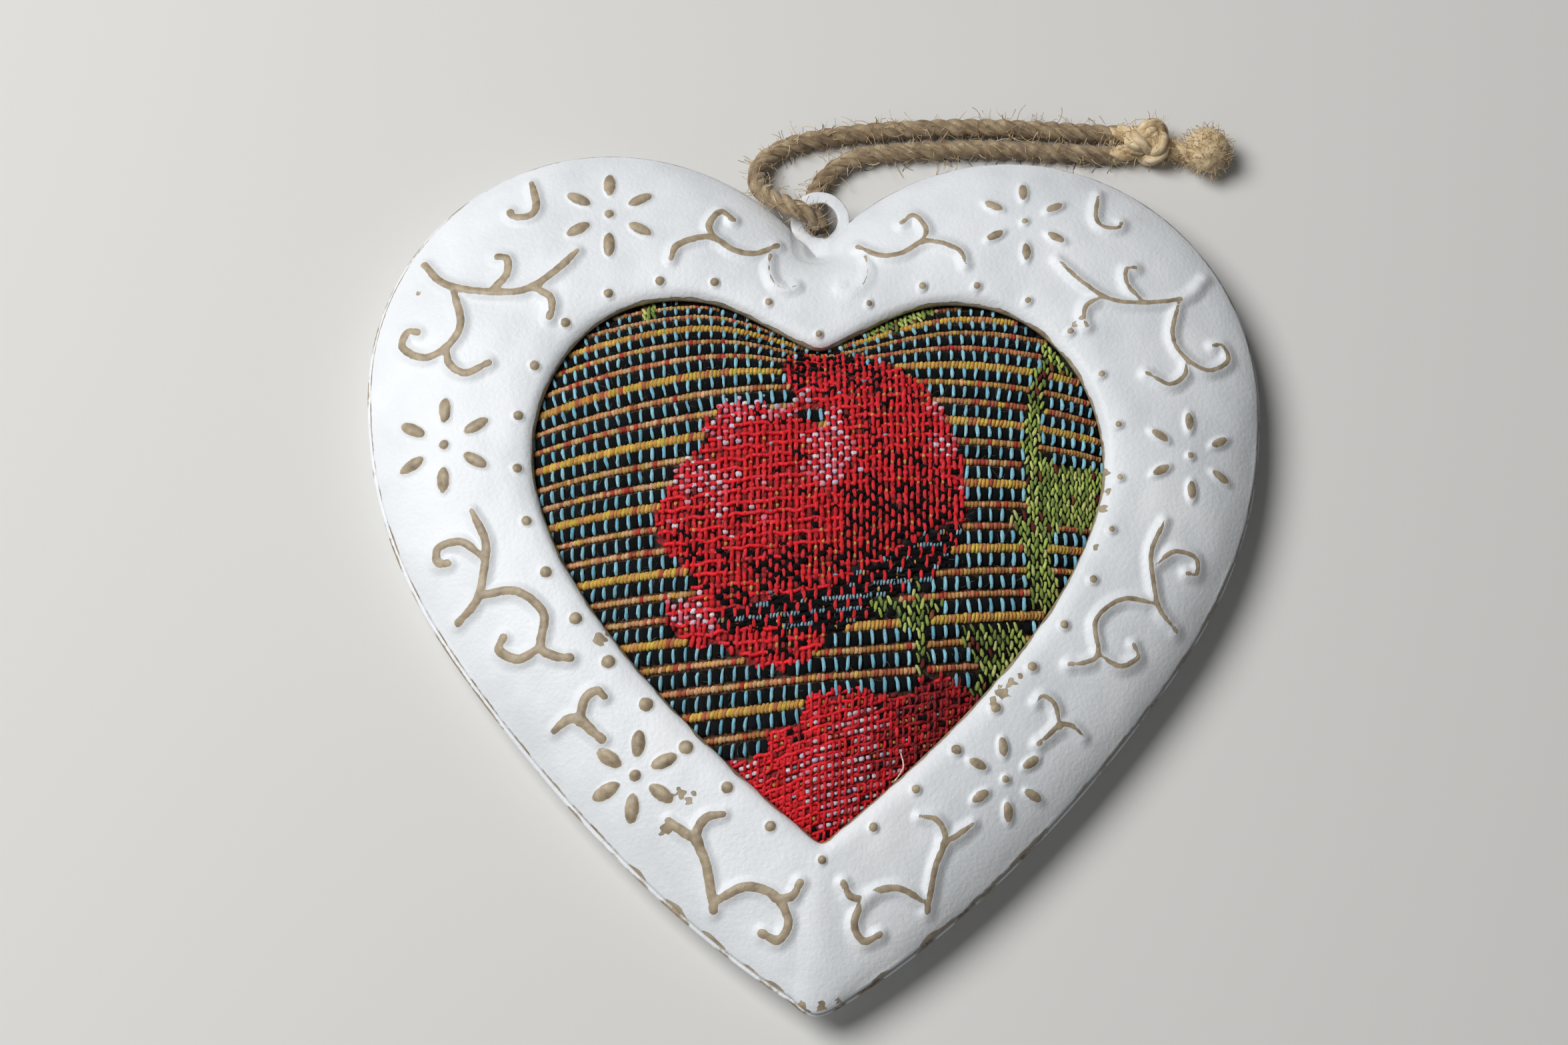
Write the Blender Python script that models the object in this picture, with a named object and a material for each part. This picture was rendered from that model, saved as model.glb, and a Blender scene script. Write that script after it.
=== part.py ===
# Fabric covered metal heart: a pressed metal frame with raised scrolls and flowers on a
# shallow metal back, a padded fabric cushion in its window, a flat hanging eye in the
# cleft and a doubled jute twine. It lies on its back with the tip toward -Y.
# The sizes below are millimetres, measured from the heart's widest line and the rim plane.
# Places on its face, its outlines and its scrolls are drawn in hundredths of its width.

import math

import bmesh
import bpy
from mathutils import Vector
from mathutils.bvhtree import BVHTree

# Overall size and place of the heart
HEART_WIDTH = 100.0
DRAWN_WIDTH = 100.0
REAR_DEPTH = 5.0
WIDEST_LINE_Y = 18.9
CLEARANCE = 0.3

# Outer edge of the back shell, right half: lobe arcs, then the flank down to the tip
LOBE_X = 22.9
LOBE_Y = 2.0
LOBE_RISE = 28.8
LOBE_TO_SIDE = DRAWN_WIDTH / 2 - LOBE_X
LOBE_TO_CLEFT = 28.2
FLANK_HANDLE = (50.0, -14.0)
FLANK_MIDDLE_IN = (43.8, -24.3)
FLANK_MIDDLE = (36.5, -34.0)
FLANK_MIDDLE_OUT = (31.9, -40.2)
TIP_HANDLE = (17.7, -58.5)
TIP_Y = -68.6

# Window edge of the front shell, right half: cleft, top, side, tip
WINDOW_CLEFT_Y = 5.5
WINDOW_CLEFT_HANDLE = (6.4, 8.1)
WINDOW_TOP = (15.4, 11.4)
WINDOW_TOP_IN = 6.3
WINDOW_TOP_OUT = 10.3
WINDOW_SIDE = (31.4, -6.9)
WINDOW_SIDE_IN = 8.8
WINDOW_SIDE_OUT = 13.4
WINDOW_TIP_HANDLE = (16.2, -37.3)
WINDOW_TIP_Y = -50.6

# Steps around half of the heart, from the cleft over the lobe's top and side to the tip
STEPS_TO_TOP = 8
STEPS_TO_SIDE = 10
STEPS_TO_TIP = 18

# Pressed sheet: (share of the way from window to rim, height over the rim plane)
SHEET = 0.5
FRONT_PROFILE = (
    (0.0, 4.5), (0.015, 5.1), (0.06, 5.65), (0.14, 5.75), (0.25, 5.4),
    (0.6, 3.4), (0.93, 1.15), (1.0, 0.8),
)
FRONT_UNDER_ROWS = (7, 4, 2, 0)
LIP_WIDTH = 0.9

# Back shell: (distance in from the lip, height over the rim plane) of its upper side
BACK_PROFILE = ((0.0, 0.0), (2.0, -0.1), (5.2, -3.9), (8.2, -4.5))

# Raised work on the front shell
RAISED_DEPTH = 0.25
RAISED_FOOT = 1.4
BUMP_FOOT = 1.2
BUMP_TOP = 0.64
SCROLL_END = 0.62
SCROLL_WIDTH = 0.95
SCROLL_HEIGHT = 0.5
STEM_STEP = 2.5
CURL_STEP = 1.75
BUMP_SIDES = 6
DOT_HEIGHT = 0.5
DOT_RADIUS = 0.72
SMALL_DOT_RADIUS = 0.5
PETAL_HEIGHT = 0.45

# Dots beside the window, right half, from the cleft to the tip
CLEFT_DOT_Y = 7.2
TIP_DOT_Y = -52.6
DOT_PLACES = (
    (5.6, 10.9), (11.6, 13.1), (17.7, 13.2), (23.4, 11.6), (28.1, 8.0), (31.4, 2.9), (33.1, -3.0),
    (33.1, -9.1), (32.0, -15.2), (29.8, -21.0), (26.5, -26.2), (22.9, -31.0), (18.8, -35.7),
    (14.5, -40.4), (10.1, -44.8), (5.5, -49.0),
)

# Flowers: (centre x, centre y, petal distance, petal length, petal width, turn in degrees)
FLOWERS = (
    (23.4, 21.7, 4.0, 2.8, 1.35, 0.0),
    (41.2, -6.1, 4.0, 2.8, 1.35, 0.0),
    (19.9, -43.3, 3.4, 2.3, 1.2, 5.0),
)
PETALS = 6
FLOWER_EYE_RADIUS = 0.6

# Stems of the scrolls, right half; no two of them meet
STEMS = (
    ((16.5, 15.8), (15.6, 17.7), (12.1, 18.8), (9.5, 17.3), (7.0, 17.0), (4.5, 18.4)),
    ((26.9, 16.8), (29.6, 14.0), (33.0, 11.9), (38.0, 12.1), (41.8, 13.4), (44.0, 16.1)),
    ((32.2, 26.2), (31.6, 22.8), (32.4, 21.5), (34.2, 21.5), (34.5, 22.2)),
    ((38.0, -13.9), (36.4, -17.5), (36.6, -21.2), (37.3, -23.9), (39.2, -25.9)),
    ((28.6, -38.1), (27.2, -37.1), (25.9, -37.2), (24.6, -38.4), (23.5, -39.4)),
    ((10.5, -47.7), (12.4, -48.1), (13.3, -50.0), (12.2, -53.0), (11.4, -57.5)),
)

# Branches and curls that grow out of the stems or out of one another
CURLS = (
    ((11.6, 18.6), (12.2, 20.4), (10.9, 22.4), (9.5, 21.4)),
    ((32.0, 12.3), (30.0, 11.2), (29.6, 9.7), (29.9, 8.6)),
    ((36.6, 11.9), (34.8, 13.9), (34.7, 16.0), (35.8, 16.3)),
    ((37.0, -18.9), (39.0, -17.3), (41.5, -17.7), (41.6, -19.4), (40.5, -19.5)),
    ((23.3, -34.9), (24.1, -34.2), (25.4, -35.1), (25.9, -37.4)),
    ((16.3, -48.2), (14.9, -49.3), (13.1, -50.5)),
)
ARCS = (
    ((5.3, 17.6), (5.5, 15.6), (4.2, 13.1), (2.3, 13.3)),
    ((40.7, 12.6), (39.7, 8.2), (41.0, 5.6), (43.6, 4.3), (46.1, 5.8), (45.6, 7.7), (44.5, 7.5)),
    ((37.0, -23.3), (33.0, -23.1), (30.0, -25.6), (30.2, -29.2), (28.8, -30.3), (27.0, -30.6)),
    ((11.3, -56.7), (8.0, -55.3), (5.0, -56.3), (3.5, -58.9), (4.5, -60.8), (6.3, -60.1)),
)
TAILS = (
    ((41.2, 5.2), (40.8, 3.3), (39.0, 2.1), (36.5, 3.2)),
    ((30.2, -29.3), (32.6, -30.4), (34.7, -29.3), (34.3, -28.0)),
    ((5.0, -56.6), (3.2, -56.4), (2.3, -55.0)),
)

# Cushion: (share of the way from its middle to the window edge, height over the rim plane)
CUSHION_MIDDLE = (0.0, -16.0)
CUSHION_TOP = 10.3
CUSHION_PROFILE = (
    (0.3, 10.0), (0.55, 9.1), (0.75, 7.7), (0.9, 5.9), (1.0, 4.1), (1.04, 2.9),
    (1.055, 1.0), (1.03, -2.2), (0.9, -4.2),
)

# Hanging eye, forward of the cleft by a distance from the cleft to its centre
EYE_FORWARD = 4.3
EYE_RADIUS = 3.4
EYE_HOLE_RADIUS = 2.0
EYE_SHEET = 0.8
EYE_ROOM = 0.75

# Twine, knot and tuft
TWINE_RADIUS = 1.15
TWINE_STEP = 3.0
TWINE_LYING = -REAR_DEPTH + TWINE_RADIUS + 0.05
TWINE_OVER = (
    (0.5, 22.4, 1.3), (-0.9, 22.9, 2.6), (-3.0, 23.8, 2.9), (-5.4, 25.7, 1.2), (-6.5, 28.6, -1.8),
    (-6.0, 31.6, -3.5), (-3.8, 33.6, TWINE_LYING), (0.5, 35.1, TWINE_LYING),
    (8.6, 36.3, TWINE_LYING), (20.0, 36.9, TWINE_LYING), (35.4, 36.4, TWINE_LYING),
)
TWINE_UNDER = (
    (0.5, 22.6, -0.3), (0.4, 23.6, -1.5), (0.1, 25.6, -2.7), (0.3, 28.2, -3.6),
    (1.8, 30.6, TWINE_LYING), (4.4, 32.5, TWINE_LYING), (8.6, 33.5, TWINE_LYING),
    (20.0, 34.2, TWINE_LYING), (35.4, 33.7, TWINE_LYING),
)
KNOT_PLACE = (38.9, 35.1)
KNOT_SIZE = (6.2, 5.6, 4.7)
TUFT_START_X = 42.3
TUFT_END_X = 48.5
TUFT_Y = 34.0
TUFT_PROFILE = ((0.0, 1.2), (0.15, 1.5), (0.35, 2.5), (0.6, 2.75), (0.85, 2.2), (1.0, 1.0))


def place(x, y, z):
    return Vector((x * 0.001, (y + WIDEST_LINE_Y) * 0.001, (z + REAR_DEPTH) * 0.001))


def drawn(point):
    # a place on the heart's face at its real size
    return Vector(point) * (HEART_WIDTH / DRAWN_WIDTH)


def bezier(start, start_handle, end_handle, end):
    points = []
    steps = 60
    for step in range(steps):
        t = step / steps
        weights = ((1 - t) ** 3, 3 * t * (1 - t) ** 2, 3 * t * t * (1 - t), t ** 3)
        point = Vector((0.0, 0.0))
        for weight, corner in zip(weights, (start, start_handle, end_handle, end)):
            point += weight * Vector(corner)
        points.append(point)
    return points


def arc(centre, radii, start_angle, end_angle):
    points = []
    for step in range(61):
        angle = start_angle + (end_angle - start_angle) * step / 60
        points.append(Vector((
            centre[0] + radii[0] * math.cos(angle),
            centre[1] + radii[1] * math.sin(angle),
        )))
    return points


def even_points(line, count):
    # count points at even spacing along the line, its last point left out
    lengths = [0.0]
    for before, after in zip(line, line[1:]):
        lengths.append(lengths[-1] + (after - before).length)
    points = []
    segment = 0
    for step in range(count):
        wanted = lengths[-1] * step / count
        while lengths[segment + 1] < wanted:
            segment += 1
        share = (wanted - lengths[segment]) / (lengths[segment + 1] - lengths[segment])
        points.append(line[segment].lerp(line[segment + 1], share))
    return points


def smooth_path(corners, spacing):
    # a smooth curve through the given corners, with points about one spacing apart
    nodes = [Vector(corner) for corner in corners]
    nodes = [2 * nodes[0] - nodes[1]] + nodes + [2 * nodes[-1] - nodes[-2]]
    fine = []
    for index in range(1, len(nodes) - 2):
        a, b, c, d = nodes[index - 1:index + 3]
        for step in range(16):
            t = step / 16
            fine.append(0.5 * (2 * b + (c - a) * t + (2 * a - 5 * b + 4 * c - d) * t * t
                               + (3 * b - a - 3 * c + d) * t ** 3))
    fine.append(nodes[-2])
    length = sum((after - before).length for before, after in zip(fine, fine[1:]))
    count = max(2, round(length / spacing))
    return even_points(fine, count) + [fine[-1]]


def full_loop(half):
    # the right half runs from the cleft to the tip; the left half mirrors it back
    left = [Vector((-point.x, point.y)) for point in half[-2:0:-1]]
    return half + left


def half_outline(sections):
    points = []
    for line, count in zip(sections, (STEPS_TO_TOP, STEPS_TO_SIDE, STEPS_TO_TIP)):
        points += even_points(line, count)
    points.append(sections[-1][-1])
    points[0].x = 0.0
    return [drawn(point) for point in points]


def outer_outline():
    lobe = (LOBE_X, LOBE_Y)
    cleft_angle = math.acos(-LOBE_X / LOBE_TO_CLEFT)
    inner = arc(lobe, (LOBE_TO_CLEFT, LOBE_RISE), cleft_angle, math.pi / 2)
    outer = arc(lobe, (LOBE_TO_SIDE, LOBE_RISE), math.pi / 2, 0.0)
    tip = (0.0, TIP_Y)
    flank = bezier(outer[-1], FLANK_HANDLE, FLANK_MIDDLE_IN, FLANK_MIDDLE)
    flank += bezier(FLANK_MIDDLE, FLANK_MIDDLE_OUT, TIP_HANDLE, tip)
    flank.append(Vector(tip))
    return full_loop(half_outline((inner, outer, flank)))


def window_outline():
    top_x, top_y = WINDOW_TOP
    side_x, side_y = WINDOW_SIDE
    cleft = (0.0, WINDOW_CLEFT_Y)
    tip = (0.0, WINDOW_TIP_Y)
    first = bezier(cleft, WINDOW_CLEFT_HANDLE, (top_x - WINDOW_TOP_IN, top_y), WINDOW_TOP)
    first.append(Vector(WINDOW_TOP))
    side_handle = (side_x, side_y + WINDOW_SIDE_IN)
    second = bezier(WINDOW_TOP, (top_x + WINDOW_TOP_OUT, top_y), side_handle, WINDOW_SIDE)
    second.append(Vector(WINDOW_SIDE))
    third = bezier(WINDOW_SIDE, (side_x, side_y - WINDOW_SIDE_OUT), WINDOW_TIP_HANDLE, tip)
    third.append(Vector(tip))
    return full_loop(half_outline((first, second, third)))


def material(name, colour, roughness, metallic=0.0):
    surface = bpy.data.materials.new(name)
    surface.use_nodes = True
    surface.diffuse_color = (*colour, 1.0)
    shader = surface.node_tree.nodes["Principled BSDF"]
    shader.inputs["Base Color"].default_value = (*colour, 1.0)
    shader.inputs["Roughness"].default_value = roughness
    shader.inputs["Metallic"].default_value = metallic
    return surface


def solid(name, vertices, faces, surface=None):
    mesh = bpy.data.meshes.new(name)
    mesh.from_pydata([place(*vertex) for vertex in vertices], [], faces)
    body = bmesh.new()
    body.from_mesh(mesh)
    bmesh.ops.triangulate(body, faces=body.faces)
    bmesh.ops.recalc_face_normals(body, faces=body.faces)
    body.to_mesh(mesh)
    body.free()
    thing = bpy.data.objects.new(name, mesh)
    bpy.context.collection.objects.link(thing)
    if surface:
        mesh.materials.append(surface)
    return thing


def finish(thing, angle):
    thing.data.shade_smooth()
    thing.data.set_sharp_from_angle(angle=math.radians(angle))


def offset_profile(profile, thickness):
    # the same profile moved down by the sheet's thickness, square to its slope
    moved = []
    for index, point in enumerate(profile):
        before = Vector(profile[max(index - 1, 0)])
        after = Vector(profile[min(index + 1, len(profile) - 1)])
        slope = (after - before).normalized()
        moved.append((point[0] + slope.y * thickness, point[1] - slope.x * thickness))
    return moved


def skin(loops, closed_rows):
    # quads between neighbouring loops of points, each loop closed on itself
    faces = []
    count = len(loops[0])
    rows = len(loops) if closed_rows else len(loops) - 1
    for row in range(rows):
        upper = row * count
        lower = (row + 1) % len(loops) * count
        for index in range(count):
            following = (index + 1) % count
            faces.append((upper + index, upper + following, lower + following, lower + index))
    return faces


def build_back_shell(outer, window):
    # the sheet's outer side, from under the lip down to the flat back
    under = offset_profile(BACK_PROFILE, SHEET)
    under[0] = (0.0, BACK_PROFILE[0][1] - SHEET)
    under[-1] = (under[-1][0], BACK_PROFILE[-1][1] - SHEET)
    under[-2] = (under[-2][0], under[-1][1])
    rows = list(BACK_PROFILE[::-1]) + under
    loops = []
    for distance, height in rows:
        loop = []
        for edge, inside in zip(outer, window):
            point = edge + (inside - edge).normalized() * distance
            loop.append((point.x, point.y, height))
        loops.append(loop)
    faces = skin(loops, False)
    count = len(outer)
    faces.append(tuple(range(count)))
    faces.append(tuple(range((len(loops) - 1) * count, len(loops) * count)))
    white = material("white painted tin", (0.78, 0.79, 0.8), 0.55)
    thing = solid("back_shell", [point for loop in loops for point in loop], faces, white)
    finish(thing, 35)
    return thing


def eye_centre(outer):
    # the first point of the outline is the cleft
    return outer[0] + Vector((0.0, EYE_FORWARD))


def front_edge(outer, window):
    # inside the back shell's lip, with room for the eye
    eye = eye_centre(outer)
    edge = []
    for rim, inside in zip(outer, window):
        point = rim + (inside - rim).normalized() * LIP_WIDTH
        away = point - eye
        room = EYE_RADIUS + EYE_ROOM
        if away.length < room:
            point = eye + away.normalized() * room
        edge.append(point)
    return edge


def build_front_shell(outer, window):
    edge = front_edge(outer, window)
    loops = [[] for _ in range(len(FRONT_PROFILE) + len(FRONT_UNDER_ROWS))]
    for inside, rim in zip(window, edge):
        width = (rim - inside).length
        across = (rim - inside).normalized()
        upper = [(share * width, height) for share, height in FRONT_PROFILE]
        lower = offset_profile(upper, SHEET)
        rows = upper + [lower[index] for index in FRONT_UNDER_ROWS]
        for row, (distance, height) in enumerate(rows):
            point = inside + across * distance
            loops[row].append((point.x, point.y, height))
    white = material("white painted tin front", (0.8, 0.81, 0.82), 0.55)
    points = [point for loop in loops for point in loop]
    return solid("front_shell", points, skin(loops, True), white)


def surface_reader(thing):
    tree = BVHTree.FromObject(thing, bpy.context.evaluated_depsgraph_get())

    def height(x, y):
        start = place(x, y, 40.0)
        hit = tree.ray_cast(start, Vector((0.0, 0.0, -1.0)))[0]
        return hit.z * 1000.0 - REAR_DEPTH
    return height


def stroke(path, height, vertices, faces):
    # a low ridge with sloping sides and narrower ends along a path on the shell
    last = len(path) - 1
    first = len(vertices)
    for index, point in enumerate(path):
        along = (path[min(index + 1, last)] - path[max(index - 1, 0)]).normalized()
        side = Vector((-along.y, along.x))
        end = min(index, last - index)
        foot = SCROLL_WIDTH / 2 * RAISED_FOOT * (SCROLL_END if end == 0 else 1.0)
        for offset, rise in ((-foot, -RAISED_DEPTH), (0.0, SCROLL_HEIGHT), (foot, -RAISED_DEPTH)):
            spot = point + side * offset
            vertices.append((spot.x, spot.y, height(spot.x, spot.y) + rise))
    for index in range(last):
        a = first + index * 3
        b = a + 3
        for corner in range(3):
            following = (corner + 1) % 3
            faces.append((a + corner, a + following, b + following, b + corner))
    faces.append((first, first + 1, first + 2))
    ending = first + last * 3
    faces.append((ending, ending + 1, ending + 2))


def bump(x, y, length, width, turn, rise, height, vertices, faces):
    # an oval bump on the shell, its long side turned by the given angle
    first = len(vertices)
    for scale, level in ((BUMP_FOOT, -RAISED_DEPTH), (BUMP_TOP, rise)):
        for step in range(BUMP_SIDES):
            angle = math.tau * (step + 0.5) / BUMP_SIDES
            across = math.cos(angle) * length / 2 * scale
            beside = math.sin(angle) * width / 2 * scale
            spot_x = x + across * math.cos(turn) - beside * math.sin(turn)
            spot_y = y + across * math.sin(turn) + beside * math.cos(turn)
            vertices.append((spot_x, spot_y, height(spot_x, spot_y) + level))
    upper = first + BUMP_SIDES
    for step in range(BUMP_SIDES):
        following = (step + 1) % BUMP_SIDES
        faces.append((first + step, first + following, upper + following, upper + step))
    faces.append(tuple(range(first, upper)))
    faces.append(tuple(range(upper, upper + BUMP_SIDES)))


def add_raised_work(shell, name, vertices, faces):
    tool = solid(name, vertices, faces)
    tool.display_type = "WIRE"
    tool.hide_render = True
    union = shell.modifiers.new(name, "BOOLEAN")
    union.operation = "UNION"
    union.solver = "EXACT"
    union.object = tool


def add_scrolls(shell, height):
    for name, strokes in (("stems", STEMS), ("curls", CURLS), ("arcs", ARCS), ("tails", TAILS)):
        step = STEM_STEP if strokes is STEMS else CURL_STEP
        vertices = []
        faces = []
        for corners in strokes:
            path = smooth_path([drawn(corner) for corner in corners], step)
            stroke(path, height, vertices, faces)
            stroke([Vector((-point.x, point.y)) for point in path], height, vertices, faces)
        add_raised_work(shell, name, vertices, faces)


def add_dots_and_flowers(shell, height):
    vertices = []
    faces = []

    def dot(place_on_face, radius):
        spot = drawn(place_on_face)
        bump(spot.x, spot.y, radius * 2, radius * 2, 0.0, DOT_HEIGHT, height, vertices, faces)

    dot((0.0, CLEFT_DOT_Y), SMALL_DOT_RADIUS)
    dot((0.0, TIP_DOT_Y), SMALL_DOT_RADIUS)
    for side in (1, -1):
        for index, (x, y) in enumerate(DOT_PLACES):
            dot((side * x, y), SMALL_DOT_RADIUS if index == 0 else DOT_RADIUS)
        for x, y, distance, length, width, turn in FLOWERS:
            centre = drawn((side * x, y))
            dot((side * x, y), FLOWER_EYE_RADIUS)
            for petal in range(PETALS):
                angle = math.radians(90 + turn * side) + math.tau * petal / PETALS
                spot = centre + distance * Vector((math.cos(angle), math.sin(angle)))
                bump(spot.x, spot.y, length, width, angle, PETAL_HEIGHT, height, vertices, faces)
    add_raised_work(shell, "dots_and_flowers", vertices, faces)


def build_cushion(window):
    middle = drawn(CUSHION_MIDDLE)
    outline = window[::2]
    loops = []
    for share, height in CUSHION_PROFILE:
        loop = []
        for edge in outline:
            point = middle.lerp(edge, share)
            loop.append((point.x, point.y, height))
        loops.append(loop)
    faces = skin(loops, False)
    vertices = [point for loop in loops for point in loop]
    count = len(outline)
    top = len(vertices)
    vertices.append((middle.x, middle.y, CUSHION_TOP))
    for index in range(count):
        faces.append((index, (index + 1) % count, top))
    faces.append(tuple(range(top - count, top)))
    cloth = material("striped woven cloth", (0.3, 0.12, 0.08), 0.9)
    finish(solid("fabric_cushion", vertices, faces, cloth), 60)


def build_eye(outer):
    count = 28
    centre = eye_centre(outer)
    low = CLEARANCE
    high = CLEARANCE + EYE_SHEET
    loops = []
    for radius, z in (
        (EYE_RADIUS, low), (EYE_RADIUS, high), (EYE_HOLE_RADIUS, high), (EYE_HOLE_RADIUS, low),
    ):
        loop = []
        for step in range(count):
            angle = math.tau * step / count
            loop.append((centre.x + radius * math.cos(angle), centre.y + radius * math.sin(angle), z))
        loops.append(loop)
    white = material("white painted tin eye", (0.78, 0.78, 0.8), 0.5)
    points = [point for loop in loops for point in loop]
    ring = solid("hanging_eye", points, skin(loops, True), white)
    finish(ring, 35)


def build_strand(name, route, jute):
    path = smooth_path(route, TWINE_STEP)
    curve = bpy.data.curves.new(name, "CURVE")
    curve.dimensions = "3D"
    curve.bevel_depth = TWINE_RADIUS * 0.001
    curve.bevel_resolution = 2
    curve.use_fill_caps = True
    spline = curve.splines.new("POLY")
    spline.points.add(len(path) - 1)
    for point, spot in zip(spline.points, path):
        point.co = (*place(*spot), 1.0)
    curve.materials.append(jute)
    thing = bpy.data.objects.new(name, curve)
    bpy.context.collection.objects.link(thing)


def build_knot(jute):
    x, y = KNOT_PLACE
    length, width, height = KNOT_SIZE
    body = bmesh.new()
    bmesh.ops.create_uvsphere(body, u_segments=14, v_segments=8, radius=1.0)
    for vertex in body.verts:
        spot = vertex.co
        vertex.co = place(
            x + spot.x * length / 2,
            y + spot.y * width / 2,
            -REAR_DEPTH + 0.05 + (spot.z + 1) * height / 2,
        )
    mesh = bpy.data.meshes.new("twine_knot")
    body.to_mesh(mesh)
    body.free()
    mesh.materials.append(jute)
    thing = bpy.data.objects.new("twine_knot", mesh)
    bpy.context.collection.objects.link(thing)
    finish(thing, 60)


def build_tuft(jute):
    count = 14
    loops = []
    for share, radius in TUFT_PROFILE:
        x = TUFT_START_X + (TUFT_END_X - TUFT_START_X) * share
        level = -REAR_DEPTH + 0.05 + max(radius, TWINE_RADIUS)
        loop = []
        for step in range(count):
            angle = math.tau * step / count
            loop.append((x, TUFT_Y + radius * math.cos(angle), level + radius * math.sin(angle)))
        loops.append(loop)
    faces = skin(loops, False)
    faces.append(tuple(range(count)))
    faces.append(tuple(range((len(loops) - 1) * count, len(loops) * count)))
    finish(solid("twine_tuft", [point for loop in loops for point in loop], faces, jute), 60)


def main():
    for thing in list(bpy.data.objects):
        bpy.data.objects.remove(thing)
    outer = outer_outline()
    window = window_outline()
    build_back_shell(outer, window)
    shell = build_front_shell(outer, window)
    height = surface_reader(shell)
    add_scrolls(shell, height)
    add_dots_and_flowers(shell, height)
    finish(shell, 30)
    build_cushion(window)
    build_eye(outer)
    jute = material("jute twine", (0.42, 0.29, 0.15), 0.9)
    build_strand("twine_over", TWINE_OVER, jute)
    build_strand("twine_under", TWINE_UNDER, jute)
    build_knot(jute)
    build_tuft(jute)


main()
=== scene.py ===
import math
from collections import namedtuple
from functools import partial

import bmesh
import bpy
import numpy as np
from mathutils import Matrix, Vector
from mathutils.bvhtree import BVHTree


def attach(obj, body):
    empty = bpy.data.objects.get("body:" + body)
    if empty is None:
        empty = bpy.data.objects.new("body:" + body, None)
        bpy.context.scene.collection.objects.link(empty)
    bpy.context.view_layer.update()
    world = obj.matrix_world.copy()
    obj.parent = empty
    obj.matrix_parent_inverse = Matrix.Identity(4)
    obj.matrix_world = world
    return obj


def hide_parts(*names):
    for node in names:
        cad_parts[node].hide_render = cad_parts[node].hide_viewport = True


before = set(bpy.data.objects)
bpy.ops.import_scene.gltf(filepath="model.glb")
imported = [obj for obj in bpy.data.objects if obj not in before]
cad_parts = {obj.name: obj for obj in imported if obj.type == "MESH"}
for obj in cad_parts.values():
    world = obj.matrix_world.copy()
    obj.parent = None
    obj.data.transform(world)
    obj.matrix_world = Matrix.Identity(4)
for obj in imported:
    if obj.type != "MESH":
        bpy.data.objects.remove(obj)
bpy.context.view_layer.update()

# Sizes are millimetres on the heart: x and y from its widest line, height over the rim plane.
mm = 0.001
heartPlace = {"widestLineY": 18.9, "rearDepth": 5.0}


def toMetres(points):
    moved = np.asarray(points, float) + (0.0, heartPlace["widestLineY"], heartPlace["rearDepth"])
    return moved * mm


# Small helpers for lines, noise and meshes

def bezierLine(start, startHandle, endHandle, end, steps=80):
    t = np.linspace(0, 1, steps)[:, None]
    corners = [np.array(corner, float) for corner in (start, startHandle, endHandle, end)]
    return ((1 - t) ** 3 * corners[0] + 3 * t * (1 - t) ** 2 * corners[1]
            + 3 * t * t * (1 - t) * corners[2] + t ** 3 * corners[3])


def arcLine(centre, radii, startAngle, endAngle):
    angles = np.linspace(startAngle, endAngle, 90)
    return np.stack([centre[0] + radii[0] * np.cos(angles), centre[1] + radii[1] * np.sin(angles)], 1)


def lengthAlong(line):
    steps = np.linalg.norm(np.diff(line, axis=0), axis=1)
    return np.concatenate([[0.0], np.cumsum(steps)])


def evenPoints(line, count, withEnd=False):
    # count points at even spacing along a line
    along = lengthAlong(line)
    wanted = np.linspace(0, along[-1], count if withEnd else count + 1)
    wanted = wanted if withEnd else wanted[:-1]
    return np.stack([np.interp(wanted, along, line[:, axis]) for axis in range(line.shape[1])], 1)


def curved(a, b, c, d, t):
    # between b and c, on a smooth curve through the four
    square, cube = 2 * a - 5 * b + 4 * c - d, 3 * b - a - 3 * c + d
    return 0.5 * (2 * b + (c - a) * t + square * t ** 2 + cube * t ** 3)


def smoothPath(corners, spacing):
    # a smooth curve through the corners, with points one spacing apart
    nodes = [np.array(corner, float) for corner in corners]
    nodes = [2 * nodes[0] - nodes[1]] + nodes + [2 * nodes[-1] - nodes[-2]]
    t = np.arange(16)[:, None] / 16
    pieces = [curved(*four, t) for four in zip(nodes, nodes[1:], nodes[2:], nodes[3:])]
    line = np.concatenate(pieces + [nodes[-2][None]])
    return evenPoints(line, max(2, round(lengthAlong(line)[-1] / spacing)) + 1, withEnd=True)


def smoothStep(value, start=0.0, over=1.0):
    # 0 up to the start and 1 from that far past it, smooth in between; a negative distance turns it round
    t = np.clip((value - start) / over, 0, 1)
    return t * t * (3 - 2 * t)


def smoothProfile(points, at):
    # a curve through the points that never overshoots them
    x, y = np.array(points, float).T
    width = np.diff(x)
    slope = np.diff(y) / width
    tangent = np.zeros(len(x))
    same = slope[1:] * slope[:-1] > 0
    tangent[1:-1][same] = 2 * slope[1:][same] * slope[:-1][same] / (slope[1:][same] + slope[:-1][same])
    tangent[0], tangent[-1] = slope[0], slope[-1]
    at = np.clip(at, x[0], x[-1])
    index = np.clip(np.searchsorted(x, at) - 1, 0, len(width) - 1)
    t = (at - x[index]) / width[index]
    return (y[index] * (1 + 2 * t) * (1 - t) ** 2 + y[index + 1] * t * t * (3 - 2 * t)
            + width[index] * (tangent[index] * t * (1 - t) ** 2 + tangent[index + 1] * t * t * (t - 1)))


noiseWaves = {}


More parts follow.
